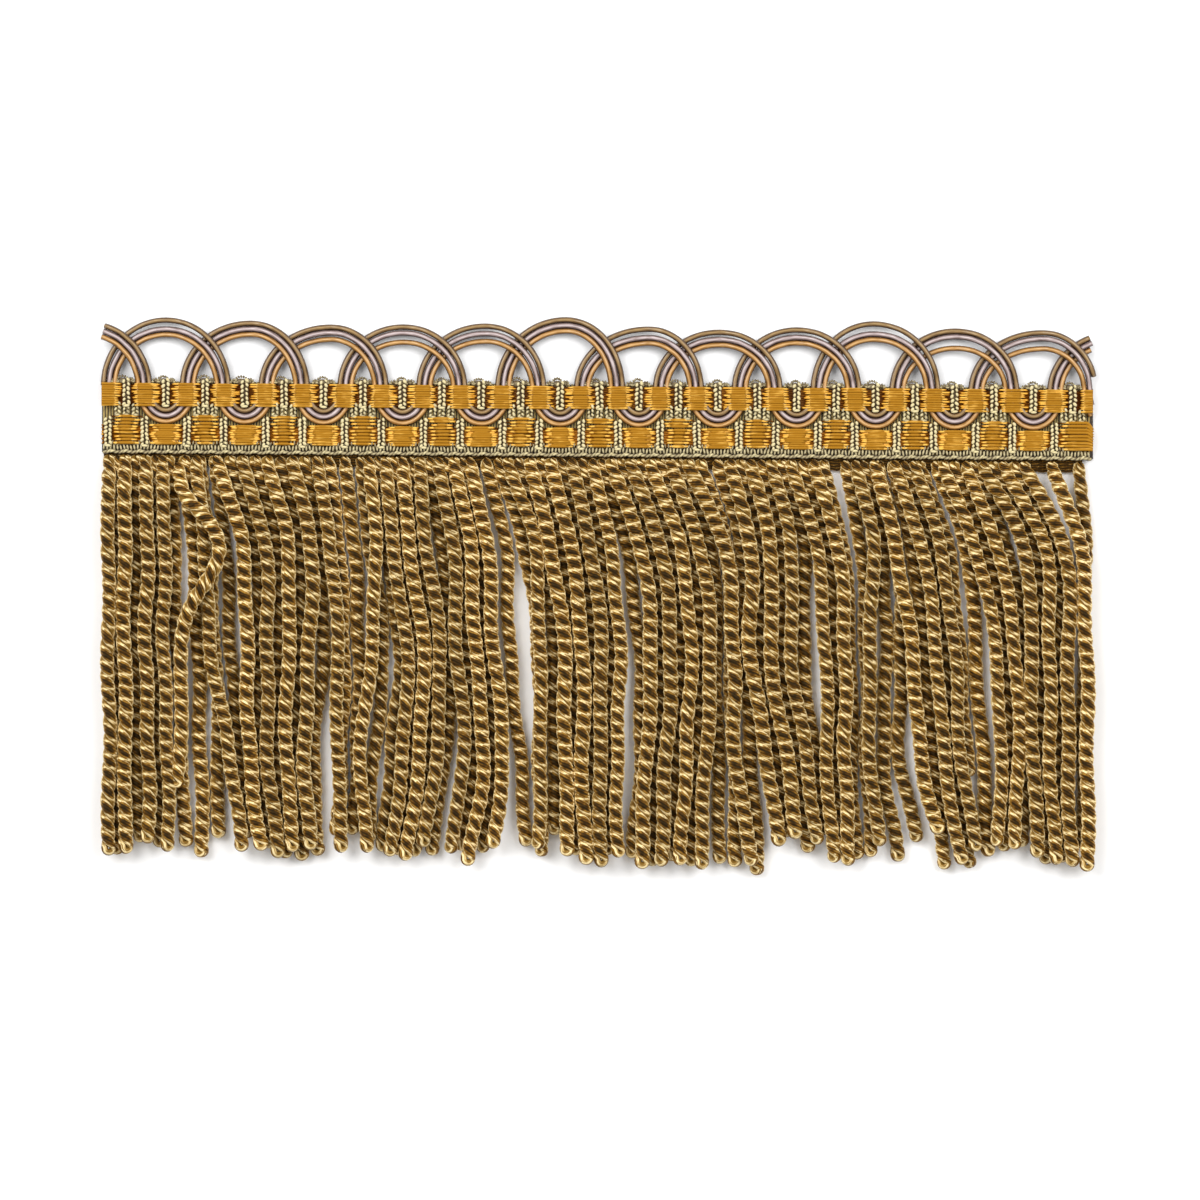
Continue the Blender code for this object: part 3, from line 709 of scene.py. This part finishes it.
@dataclass
class BullionSkirt:
    """The skirt: two rows of two-ply cords, each one yarn that turns back in an eye at its tip."""

    ply_radius: float = 1.08
    ply_spread: float = 1.36    # the twist presses a ply this much wider than it is high
    coil_radius: float = 1.02   # from the cord's middle to a ply's middle
    eye_radius: float = 1.1
    eye_ply: float = 1.0
    eye_facing: float = 0.62    # round the tip's eye the colour takes this facing, which paints it lighter: a painted highlight
    lay: float = 8.2            # length of a whole turn of the twist
    ring_step: float = 0.68
    root_height: float = 37.4
    root_share: float = 0.84    # of full thickness just under the heading
    swell: float = 6.0
    head: float = 0.9           # the run in which a cord's rounded head takes its thickness
    settle: float = 11.0
    front_z: tuple[float, float] = (2.6, 5.95)
    back_z: tuple[float, float] = (1.9, 2.3)
    waver: float = 0.35
    parts: int = 3
    chance: random.Random = field(default_factory=lambda: random.Random(SEED + 2))

    def build(self, material: bpy.types.Material) -> None:
        """Build both rows.

        Args:
            material: The bullion yarn.
        """
        self.root_band(material)
        rows = ((front_cords(), self.front_z, "fringe_front", 8),
                (back_cords(), self.back_z, "fringe_back", 7))
        for cords, levels, node, sides in rows:
            paths = [self.hang(cord, levels) for cord in cords]
            if node == "fringe_front":
                paths.append(self.tangle())
            share = -(-len(paths) // self.parts)
            for part in range(self.parts):
                batch = YarnBatch(sides)
                for path in paths[part * share:(part + 1) * share]:
                    self.twist(batch, path)
                dress(batch.build(f"{node}_cords_{part + 1}"), material, Finish.BULLION, node)

    def root_band(self, material: bpy.types.Material) -> None:
        """The yarn laid along the cords' roots, where it turns from one cord to the next."""
        batch = YarnBatch(6)
        places = np.arange(-HALF + 0.5, HALF - 1.8, 1.1)
        crest = np.tile([0.0, 0.0, 1.0], (len(places), 1))
        for number in range(5):
            wave = 0.14 * np.sin(places * 1.9 + number * 2.1)
            path = np.stack([places, 35.2 + 0.72 * number + wave, 0.9 + 0.3 * wave], axis=1)
            # Tone 0.1 paints the band a little darker than most cords; where it shows under the
            # selvage it stands in for the shade there, as painted shade.
            batch.add(path, crest, 0.5, 0.1)
        dress(batch.build("fringe_root_band"), material, Finish.BULLION, "fringe_back")

    def hang(self, cord: HungCord, levels: tuple[float, float]) -> np.ndarray:
        """The middle line of a hanging cord, from its root to the centre of its eye.

        Args:
            cord: The cord.
            levels: Its height over the surface at its root and where it has settled.

        Returns:
            Points about a ring's step apart.
        """
        end = cord.reach + self.eye_radius + self.eye_ply
        heights = np.linspace(self.root_height, end, 60)
        phase = self.chance.uniform(0, math.tau)
        length = self.chance.uniform(26, 44)
        points = []
        for height in heights:
            fallen = self.root_height - height
            settled = smooth(fallen / self.settle)
            low = self.back_z[1] if cord.floor else levels[1]
            waver = self.waver * smooth(fallen / 30) * math.sin(phase + fallen / length * math.tau)
            along = cord.root + through(cord.drift, min(height, ROOT_EDGE)) + waver
            points.append((along, height, levels[0] + (low - levels[0]) * settled))
        return self.even(np.array(points))

    def tangle(self) -> np.ndarray:
        """The middle line of the cord that crosses over its neighbour and back."""
        table = np.array(TANGLE)
        table[-1, 1] += self.eye_radius + self.eye_ply
        keys = np.linspace(0, 1, len(table))
        fine = np.linspace(0, 1, 90)
        soft = [np.interp(fine, keys, table[:, axis]) for axis in range(3)]
        kernel = np.hanning(13)
        kernel /= kernel.sum()
        soft = [np.convolve(np.pad(axis, 6, mode="edge"), kernel, mode="valid") for axis in soft]
        along, height, raised = soft
        level = self.front_z[0] + (self.front_z[1] - self.front_z[0]) * np.array(
            [smooth((self.root_height - item) / self.settle) for item in height])
        return self.even(np.stack([along, height, level + raised], axis=1))

    def even(self, points: np.ndarray) -> np.ndarray:
        """Space points evenly along their line, a ring's step apart."""
        lengths = np.concatenate([[0], np.cumsum(np.linalg.norm(np.diff(points, axis=0), axis=1))])
        count = int(lengths[-1] / self.ring_step) + 1
        places = np.linspace(0, lengths[-1], count)
        return np.stack([np.interp(places, lengths, points[:, axis]) for axis in range(3)], axis=1)

    def twist(self, batch: YarnBatch, middle: np.ndarray) -> None:
        """Lay one yarn down a cord's middle line, round its eye and back up.

        Args:
            batch: The batch that takes the yarn.
            middle: The cord's middle line.
        """
        run = np.gradient(middle, axis=0)
        run /= np.linalg.norm(run, axis=1, keepdims=True)
        side = np.cross(run, np.array([0.0, 0.0, 1.0]))
        side /= -np.linalg.norm(side, axis=1, keepdims=True)
        rise = np.cross(side, run)
        rise *= np.sign(rise[:, 2:3])
        count = len(middle)
        to_tip = (count - 1 - np.arange(count)) * self.ring_step
        fallen = np.arange(count) * self.ring_step
        size = self.chance.uniform(0.94, 1.04)
        grow = np.array([self.root_share + (1 - self.root_share) * smooth(item / self.swell)
                         for item in fallen]) * size
        grow *= np.sqrt(np.clip((fallen + 0.1) / self.head, 0, 1))
        near_eye = np.array([smooth(1 - item / 3.0) for item in to_tip])
        coil = self.coil_radius * grow + (self.eye_radius - self.coil_radius) * near_eye
        ply = self.ply_radius * grow + (self.eye_ply - self.ply_radius) * near_eye
        lay = self.lay * self.chance.uniform(0.93, 1.07)
        wave = self.chance.uniform(18, 34)
        slip = 0.55 * np.sin(to_tip / wave * math.tau) * np.minimum(to_tip / wave, 1)
        turn = self.chance.uniform(-0.7, 0.7) + math.tau * to_tip / lay + slip
        down = side * np.cos(turn)[:, None] + rise * np.sin(turn)[:, None]
        bend = np.linspace(0, math.pi, 9)[1:-1]
        arc = (down[-1][None, :] * np.cos(bend)[:, None] + run[-1][None, :] * np.sin(bend)[:, None])
        path = np.concatenate([middle + down * coil[:, None], middle[-1] + arc * coil[-1],
                               (middle - down * coil[:, None])[::-1]])
        crest = np.concatenate([down, arc, -down[::-1]])
        radius = np.concatenate([ply, np.full(len(bend), ply[-1]), ply[::-1]])
        # How far each crest faces up; the material paints the turned-away parts lighter, as a
        # painted highlight.
        faced = np.concatenate([down[:, 2], np.full(len(bend), self.eye_facing), -down[::-1, 2]])
        near_eye = np.concatenate([near_eye, np.ones(len(bend)), near_eye[::-1]])
        faced = faced * (1 - near_eye) + self.eye_facing * near_eye
        batch.add(path, crest, radius, self.chance.random(), self.ply_spread, faced)


class Loop(NamedTuple):
    """One high loop: where its top leans, how far it rises past the web, how its cords part.

    mauve and gold are how far these two drop away from the brown cord at the loop's top.
    """

    lean: float
    rise: float
    mauve: float
    gold: float


LOOPS = (
    Loop(0.4, 15.2, 0.0, 0.0),
    Loop(0.1, 16.3, 0.9, 0.9),
    Loop(1.6, 15.6, 0.0, 0.0),
    Loop(2.0, 14.7, 0.0, 0.3),
    Loop(0.3, 14.9, 0.1, 1.1),
    Loop(1.1, 15.3, 0.5, 1.1),
    Loop(1.6, 17.2, 0.0, 0.0),
    Loop(2.6, 14.8, 0.8, 0.8),
    Loop(0.4, 14.1, 0.4, 0.4),
    Loop(0.1, 14.9, 0.5, 0.5),
    Loop(-0.5, 16.7, 1.2, 1.2),
    Loop(0.3, 14.9, 0.0, 1.6),
    Loop(2.4, 14.6, 0.1, 1.3),
    Loop(1.6, 14.8, 0.0, 0.0),
)


@dataclass
class GimpLoops:
    """Two interleaved sets of three gimp cords, in high loops and small U's."""

    radius: float = 0.77
    spacing: float = 1.55
    base: float = 2.17
    hump: float = 1.72
    u_half: float = 6.05
    spring: float = 56.5
    u_foot: float = 48.3
    crossing: float = 10.9
    hump_flat: float = 6.2
    hump_reach: float = 10.2
    arch_steps: int = 44
    u_steps: int = 22

    def build(self, materials: dict[Finish, bpy.types.Material]) -> None:
        """Build the six cords.

        Args:
            materials: The material of each colour of cord.
        """
        cords = ((self.spacing, "brown", Finish.BROWN), (0.0, "mauve", Finish.MAUVE),
                 (-self.spacing, "gold", Finish.TAN))
        for first, letter in ((1, "a"), (0, "b")):
            for offset, colour, finish in cords:
                path = self.path(first, offset, finish)
                path = path[np.abs(path[:, 0]) <= HALF]
                batch = YarnBatch(12)
                crest = np.tile([0.0, 0.0, 1.0], (len(path), 1))
                batch.add(path, crest, self.radius)
                node = f"gimp_{letter}_{colour}"
                dress(batch.build(node + "_cord"), materials[finish], finish, node)

    def path(self, first: int, offset: float, finish: Finish) -> np.ndarray:
        """Middle line of one cord.

        Args:
            first: The first loop of its set.
            offset: Its distance towards the outside of the loops.
            finish: Its colour, which says how it parts from the others.

        Returns:
            Points from end to end.
        """
        points = []
        for index in range(first, len(LOOPS) + 1, 2):
            if index < len(LOOPS):
                points += self.arch(index, offset, finish)
            points += self.small_u(FIRST_U + REPEAT * index, offset)
        return np.array(points)

    def arch(self, index: int, offset: float, finish: Finish) -> list[tuple[float, float, float]]:
        """The high loop between two U's: two quarter ellipses that meet at its top."""
        loop = LOOPS[index]
        drop = {Finish.MAUVE: loop.mauve, Finish.TAN: loop.gold}.get(finish, 0.0)
        centre = FIRST_U + REPEAT * (index - 1)
        top = WEB_TOP + loop.rise - self.radius - self.spacing
        points = []
        for step in range(self.arch_steps):
            turn = math.pi * (1 - step / self.arch_steps)
            reach = REPEAT - self.u_half - loop.lean * math.copysign(1, math.cos(turn)) + offset
            rise = top - self.spring + offset - drop
            along = centre + loop.lean + math.cos(turn) * reach
            height = self.spring + math.sin(turn) * rise
            gap = math.hypot(along - centre - REPEAT / 2, height - self.spring - self.crossing)
            share = smooth((self.hump_reach - gap) / (self.hump_reach - self.hump_flat))
            points.append((along, height, self.base + self.hump * share))
        return points

    def small_u(self, centre: float, offset: float) -> list[tuple[float, float, float]]:
        """The small U on the heading's face, half an ellipse open upwards."""
        points = []
        for step in range(self.u_steps):
            turn = math.pi * (1 + step / self.u_steps)
            along = centre + math.cos(turn) * (self.u_half - offset)
            height = self.spring + math.sin(turn) * (self.spring - self.u_foot - offset)
            points.append((along, height, self.base))
        return points


def rib_places() -> tuple[list[float], list[float]]:
    """Places of the upper and of the lower ribs."""
    upper = [FIRST_U + REPEAT * step / 2 for step in range(-2, 2 * len(LOOPS))]
    lower = [FIRST_U + REPEAT * step + side for step in range(-1, len(LOOPS))
             for side in (-LOWER_RIB_OFFSET, LOWER_RIB_OFFSET)]
    return ([place for place in upper if abs(place) < HALF - 1.3],
            [place for place in lower if abs(place) < HALF - 1.3])


class WeftRow(NamedTuple):
    """One row of gold floats: its solid, ribs, lower edge, middle height, picks and yarn.

    Beside a rib the yarns part like fingers, finger high, and ragged is how unevenly they
    end there. Further out they close up and swell to the row's full height.
    """

    node: str
    ribs: list[float]
    foot: float
    high: float
    picks: int
    yarn: float
    finger: float
    ragged: float


@dataclass
class GoldWeft:
    """Two rows of satin floats that dip under the ribs and swell over the loops' feet."""

    step: float = 0.36
    rib_room: float = 0.75
    finger_run: float = 0.75    # the run in which a yarn comes up from under a rib
    finger_yarn: float = 0.68   # a finger's thickness as a share of the yarn's in the swell
    low: float = 1.5
    pinch: float = 0.45         # a yarn's thickness at a dip as a share of its own
    upper_edge: tuple[float, float] = (50.9, 57.2)
    lower_edge: tuple[float, float] = (40.5, 48.6)
    dip_edge: float = 45.9
    limb_place: float = 5.6     # from a U's middle to its limb, where the satin crosses it
    limb_reach: float = 1.5     # half the width of the flat satin over the three limbs
    bend: float = 1.7
    swell_from: float = 0.6
    swell_run: float = 2.1
    underlay: float = 0.62
    chance: random.Random = field(default_factory=lambda: random.Random(SEED + 3))

    def build(self, upper_satin: bpy.types.Material, lower_satin: bpy.types.Material) -> None:
        """Build both rows.

        Args:
            upper_satin: The upper row's yarn.
            lower_satin: The lower row's yarn.
        """
        upper, lower = rib_places()
        top = WeftRow("gold_weft_upper", upper, self.upper_edge[0], 3.4, 10, 0.39, 2.45, 1.5)
        foot = WeftRow("gold_weft_lower", lower, self.lower_edge[0], 2.95, 9, 0.45, 2.25, 1.2)
        self.lay(top, upper_satin, lambda along: self.upper_edge[1])
        self.lay(foot, lower_satin, self.lower_top)

    def lower_top(self, along: float) -> float:
        """The lower row's upper edge, which drops below each U."""
        from_u = abs((along - FIRST_U + REPEAT / 2) % REPEAT - REPEAT / 2)
        share = smooth((from_u - LOWER_RIB_OFFSET + 1.2) / 2.4)
        return self.dip_edge + (self.lower_edge[1] - self.dip_edge) * share

    def swell(self, row: WeftRow, along: float, near: float) -> float:
        """How far the satin has closed up and risen, from 0 to 1.

        Args:
            row: The row.
            along: The place along the trim.
            near: The distance from the closest rib.

        Returns:
            1 over the loops' limbs in the upper row, and clear of the ribs in the lower one.
        """
        if row.node != "gold_weft_upper":
            return smooth((near - self.swell_from) / self.swell_run)
        from_u = abs((along - FIRST_U + REPEAT / 2) % REPEAT - REPEAT / 2)
        return smooth((self.limb_reach + self.bend - abs(from_u - self.limb_place)) / self.bend)

    def lay(self, row: WeftRow, material: bpy.types.Material,
            top_at: Callable[[float], float]) -> None:
        """Lay the picks of one row.

        Args:
            row: The row.
            material: The satin yarn.
            top_at: The upper edge at a place along the trim.
        """
        batch = YarnBatch(6)
        places = np.arange(-HALF + 0.1, HALF - 0.05, self.step)
        spans = np.array([HALF * -2] + row.ribs + [HALF * 2])
        behind = np.searchsorted(spans, places) - 1
        from_left = places - spans[behind] - self.rib_room
        from_right = spans[behind + 1] - places - self.rib_room
        tops = np.array([top_at(place) for place in places])
        ribs = len(spans)
        crest = np.tile([0.0, 0.0, 1.0], (len(places), 1))
        for pick in range(row.picks):
            share = (pick + 0.5) / row.picks
            starts = self.spread(ribs, 0, row.ragged)
            ends = self.spread(ribs, 0, row.ragged)
            sways = self.spread(ribs, -0.17, 0.17)
            lifts = self.spread(ribs, -0.22, 0.22)
            near = np.minimum(from_left - starts[behind], from_right - ends[behind])
            swell = np.array([self.swell(row, *pair) for pair in zip(places, near)])
            rise = np.array([smooth(item / self.finger_run) for item in near])
            height = row.foot + (tops - row.foot) * share + sways[behind] * rise * (1 - 0.6 * swell)
            finger = row.finger + lifts[behind] - self.low
            crown = row.high + 0.2 * math.sin(math.pi * share) + 0.4 * lifts[behind]
            level = self.low + finger * rise * (1 - swell) + (crown - self.low) * swell
            part = np.maximum(self.pinch + (self.finger_yarn - self.pinch) * rise, swell)
            batch.add(np.stack([places, height, level], axis=1), crest, row.yarn * part)
        # The underlay lies below the satin's low bound, so its height paints it in the dips'
        # painted shade.
        straight = np.array([[-HALF + 0.2, 0, 0], [HALF - 0.2, 0, 0]])
        middle = (row.foot + self.underlay, min(tops) - self.underlay)
        for height in np.arange(middle[0], middle[1], self.underlay):
            batch.add(straight + np.array([0, height, self.low - 0.2]), crest[:2], self.underlay)
        dress(batch.build(row.node + "_floats"), material, Finish.GOLD, row.node)

    def spread(self, count: int, low: float, high: float) -> np.ndarray:
        """Random values between two bounds."""
        return np.array([self.chance.uniform(low, high) for _ in range(count)])


@dataclass
class Heading:
    """The beige ground: web, upright threads, chain-stitched ribs, picots and selvage."""

    column: float = 0.62        # from a rib's middle to each of its two columns
    stitch: tuple[float, float, float] = (0.84, 1.22, 0.85)
    core: tuple[float, float, float] = (1.75, 0.7, 1.5)
    pitch: float = 1.15
    rib_z: float = 3.1
    upper_rib: tuple[float, float] = (51.1, 58.5)
    lower_rib: tuple[float, float] = (40.2, 48.0)
    middle_rib: tuple[float, float] = (48.6, 52.0)
    web_top: float = 57.6
    web_thick: float = 0.9
    thread_pitch: float = 0.78
    thread: float = 0.34
    selvage: float = 39.7
    selvage_pitch: float = 0.92
    picot_z: float = 2.5
    chance: random.Random = field(default_factory=lambda: random.Random(SEED + 4))

    def build(self, ground: bpy.types.Material, stitches: bpy.types.Material) -> None:
        """Build the heading.

        Args:
            ground: The web's yarn.
            stitches: The yarn of the ribs and edges.
        """
        self.web(ground)
        batch = StitchBatch()
        edges = YarnBatch(7)
        upper, lower = rib_places()
        for along in upper:
            self.column_pair(batch, along, self.upper_rib)
            self.rib_core(edges, along, self.upper_rib)
            self.picots(batch, along)
        for along in lower:
            self.column_pair(batch, along, self.lower_rib)
            self.rib_core(edges, along, self.lower_rib)
        for step in range(-1, len(LOOPS)):
            centre = FIRST_U + REPEAT * (step + 0.5)
            for side in (-2.45, 0.0, 2.45):
                if abs(centre + side) < HALF - 1.3:
                    self.column_pair(batch, centre + side, self.middle_rib, 2.7, 0.9)
        self.selvage_row(batch)
        self.edge_thread(edges)
        dress(batch.build("heading_stitches"), stitches, Finish.HEADING, "heading_web")
        dress(edges.build("heading_edge_threads"), stitches, Finish.HEADING, "heading_web")

    def web(self, material: bpy.types.Material) -> None:
        """The woven ground: a thin flat sheet, and the upright threads that show on it."""
        bm = bmesh.new()
        bmesh.ops.create_grid(bm, x_segments=180, y_segments=14, size=0.5)
        bmesh.ops.scale(bm, vec=(2 * HALF, self.web_top - WEB_FOOT, 1), verts=bm.verts)
        shift = Vector((0, (self.web_top + WEB_FOOT) / 2, 0.05))
        bmesh.ops.translate(bm, vec=shift, verts=bm.verts)
        for vert in bm.verts:
            vert.co.y -= FALL * vert.co.x
            vert.co *= MM
        sheet = bmesh.ops.extrude_face_region(bm, geom=bm.faces[:])
        top = [item for item in sheet["geom"] if isinstance(item, bmesh.types.BMVert)]
        bmesh.ops.translate(bm, vec=(0, 0, self.web_thick * MM), verts=top)
        bmesh.ops.recalc_face_normals(bm, faces=bm.faces)
        mesh = bpy.data.meshes.new("heading_ground")
        bm.to_mesh(mesh)
        bm.free()
        web = place_object("heading_ground", mesh)
        # The sheet lies below the ground yarn's low bound, so it takes the painted shade colour.
        dress(web, material, Finish.HEADING, "heading_web")
        threads = YarnBatch(5)
        heights = np.linspace(WEB_FOOT + 0.6, self.web_top + 0.15, 15)
        crest = np.tile([0.0, 0.0, 1.0], (len(heights), 1))
        count = int((2 * HALF - 0.8) / self.thread_pitch)
        for number in range(count):
            along = -HALF + 0.5 + number * self.thread_pitch
            wave = 0.1 * np.cos(heights * math.pi / 1.6 + number * math.pi)
            sway = self.chance.uniform(-0.08, 0.08)
            level = 1.05 + wave
            path = np.stack([np.full(len(heights), along + sway), heights, level], axis=1)
            threads.add(path, crest, self.thread, self.chance.random())
        dress(threads.build("heading_ground_threads"), material, Finish.HEADING, "heading_web")

    def rib_core(self, batch: YarnBatch, along: float, span: tuple[float, float]) -> None:
        """The padding yarn under a rib's stitches; it lies low, so the yarn's height colouring
        paints it dark between them, as painted shade.
        """
        level, radius, spread = self.core
        path = np.array([[along, span[0], level], [along, span[1] - 0.3, level]])
        batch.add(path, np.array([[0.0, 0.0, 1.0]] * 2), radius, 0.5, spread)

    def column_pair(self, batch: StitchBatch, along: float, span: tuple[float, float],
                    level: float | None = None, thin: float = 1.0) -> None:
        """Two columns of slanted stitches that form one rib.

        Args:
            batch: The batch that takes the stitches.
            along: The rib's place.
            span: Its lower and upper end.
            level: The height of its stitches, or None for a rib's own.
            thin: The stitches' width as a share of a rib's.
        """
        level = self.rib_z if level is None else level
        count = max(int(round((span[1] - span[0]) / self.pitch)), 1)
        pitch = (span[1] - span[0]) / count
        shift = self.chance.uniform(-0.15, 0.15)
        for number in range(count):
            for side in (-1, 1):
                wide, long, high = self.stitch
                size = self.chance.uniform(0.82, 1.12)
                height = span[0] + pitch * (number + 0.5 + 0.2 * side)
                lift = self.chance.uniform(-0.2, 0.12)
                sway = shift * (number / count - 0.5) + self.chance.uniform(-0.09, 0.09)
                batch.add((along + side * self.column * thin + sway, height, level + lift),
                          (wide * thin * size, long * size, high),
                          side * self.chance.uniform(12, 48))
        batch.add((along, span[0] - 0.1, level - 0.1), (2.0 * thin, 0.75, 0.7),
                  self.chance.uniform(-6, 6))

    def picots(self, batch: StitchBatch, along: float) -> None:
        """Scallops of thread that bulge past the top edge: a tall one and a low one by a rib."""
        lean = self.chance.uniform(-0.9, 0.1)
        for side, half, rise, count in ((lean - 0.2, 1.5, 1.55, 9), (lean + 2.1, 0.9, 0.75, 6),
                                        (lean - 2.2, 0.8, 0.6, 5)):
            half += self.chance.uniform(-0.2, 0.25)
            rise += self.chance.uniform(-0.15, 0.2)
            for number in range(count):
                turn = math.pi * number / (count - 1)
                place = along + side + half * math.cos(turn)
                if abs(place) > HALF - 0.6:
                    continue
                batch.add((place, self.web_top + rise * math.sin(turn),
                           self.picot_z - 0.25 * math.sin(turn)),
                          (0.6, 0.85, 0.75), math.degrees(turn) - 90 + self.chance.uniform(-25, 25))
            batch.add((along + side, self.web_top + 0.2, self.picot_z - 0.3),
                      (1.7 * half, 1.1 * rise, 0.8))

    def selvage_row(self, batch: StitchBatch) -> None:
        """Upright stitches side by side along the lower edge."""
        count = int((2 * HALF - 1) / self.selvage_pitch)
        for number in range(count):
            along = -HALF + 0.7 + number * self.selvage_pitch
            batch.add((along, self.selvage + self.chance.uniform(-0.2, 0.2), 2.5),
                      (0.62, 1.7, 0.95), self.chance.uniform(-16, 16))
            batch.add((along + 0.4, self.selvage + 1.25 + self.chance.uniform(-0.25, 0.2), 2.4),
                      (0.5, 1.3, 0.7), self.chance.uniform(-24, 24))

    def edge_thread(self, batch: YarnBatch) -> None:
        """A pair of threads that scallop along the lower edge and wind round each other."""
        places = np.arange(-HALF + 0.4, HALF - 0.3, 0.27)
        crest = np.tile([0.0, 0.0, 1.0], (len(places), 1))
        swing = np.abs(np.sin(places / 3.9 * math.pi))
        for phase in (0.0, math.pi):
            turn = places / 2.3 * math.tau + phase
            lower = np.stack([places, 38.75 - 0.4 * swing + 0.24 * np.sin(turn),
                              2.6 - 0.35 * swing + 0.24 * np.cos(turn)], axis=1)
            batch.add(lower, crest, 0.33)


@dataclass
class Studio:
    """The table, the camera straight above it, and soft light from the upper left and the upper
    right.
    """

    frame_px: float = 1200.0
    scale: float = 0.2726       # millimetres in one pixel of the photograph
    zero_px: tuple[float, float] = (597.5, 596.0)
    distance: float = 1500.0
    sensor: float = 36.0
    level: float = 4.0

    def build(self, table: bpy.types.Material) -> None:
        """Set the stage.

        Args:
            table: The table's material.
        """
        bm = bmesh.new()
        bmesh.ops.create_grid(bm, x_segments=1, y_segments=1, size=1.5)
        mesh = bpy.data.meshes.new("table_top")
        bm.to_mesh(mesh)
        bm.free()
        floor = bpy.data.objects.new("table_top", mesh)
        bpy.context.scene.collection.objects.link(floor)
        mesh.materials.append(table)
        self.camera()
        self.light("left_key", (-0.6, 0.45, 0.9), 0.8, 11.0)
        self.light("right_key", (0.65, 0.4, 0.9), 0.8, 9.5)
        world = bpy.data.worlds.new("studio")
        world.use_nodes = True
        world.node_tree.nodes["Background"].inputs[0].default_value = linear("FFFFFF")
        world.node_tree.nodes["Background"].inputs[1].default_value = 0.48
        bpy.context.scene.world = world
        bpy.context.scene.view_settings.view_transform = "Standard"

    def camera(self) -> None:
        """A long lens straight above, framed as the photograph is."""
        data = bpy.data.cameras.new("camera")
        data.sensor_fit = "HORIZONTAL"
        data.sensor_width = self.sensor
        width = self.frame_px * self.scale
        data.lens = self.sensor * (self.distance - self.level) / width
        data.clip_end = 10.0
        camera = bpy.data.objects.new("camera", data)
        middle = self.frame_px / 2
        along = (middle - self.zero_px[0]) * self.scale
        height = (self.zero_px[1] - middle) * self.scale
        camera.location = Vector((along, height, self.distance)) * MM
        bpy.context.scene.collection.objects.link(camera)
        bpy.context.scene.camera = camera

    def light(self, name: str, place: tuple[float, float, float], size: float,
              power: float) -> None:
        """A square soft box aimed at the trim's middle.

        Args:
            name: The light's name.
            place: Where it stands, in metres.
            size: Its side, in metres.
            power: Its power in watts.
        """
        data = bpy.data.lights.new(name, "AREA")
        data.size = size
        data.energy = power
        lamp = bpy.data.objects.new(name, data)
        lamp.location = place
        lamp.rotation_euler = Vector(place).to_track_quat("Z", "Y").to_euler()
        bpy.context.scene.collection.objects.link(lamp)


def main() -> None:
    """Build the studio and the trim, piece by piece."""
    logging.basicConfig(level=logging.INFO, format="%(message)s")
    Studio().build(PaleTable().make())
    LOG.info("studio set")
    BullionSkirt().build(BullionRayon().make())
    LOG.info("skirt built")
    # Each gimp colour: its painted highlight, its mid tone and its painted shade.
    gimp = {
        Finish.BROWN: GimpWinding("wound_gimp_brown", "9E8152", "6E5230", "2C180A").make(),
        Finish.MAUVE: GimpWinding("wound_gimp_mauve", "C2B2B0", "877470", "33201A").make(),
        Finish.TAN: GimpWinding("wound_gimp_gold", "CBA066", "976A30", "40240C").make(),
    }
    GimpLoops().build(gimp)
    LOG.info("gimp loops built")
    upper_satin = WovenSatin("rayon_satin_upper_weft", 1.7, 3.75)
    lower_satin = WovenSatin("rayon_satin_lower_weft", 1.6, 3.15)
    GoldWeft().build(upper_satin.make(), lower_satin.make())
    LOG.info("gold weft built")
    # The second colour of each yarn is its painted shade in the low parts.
    ground = SpunYarn("woven_ground_yarn", "A08A4C", "2E1E0A", 0.9, 1.5)
    stitches = SpunYarn("chain_stitch_yarn", "D6C898", "4E3A16", 2.3, 3.45)
    Heading().build(ground.make(), stitches.make())
    LOG.info("heading built")


if __name__ == "__main__":
    main()
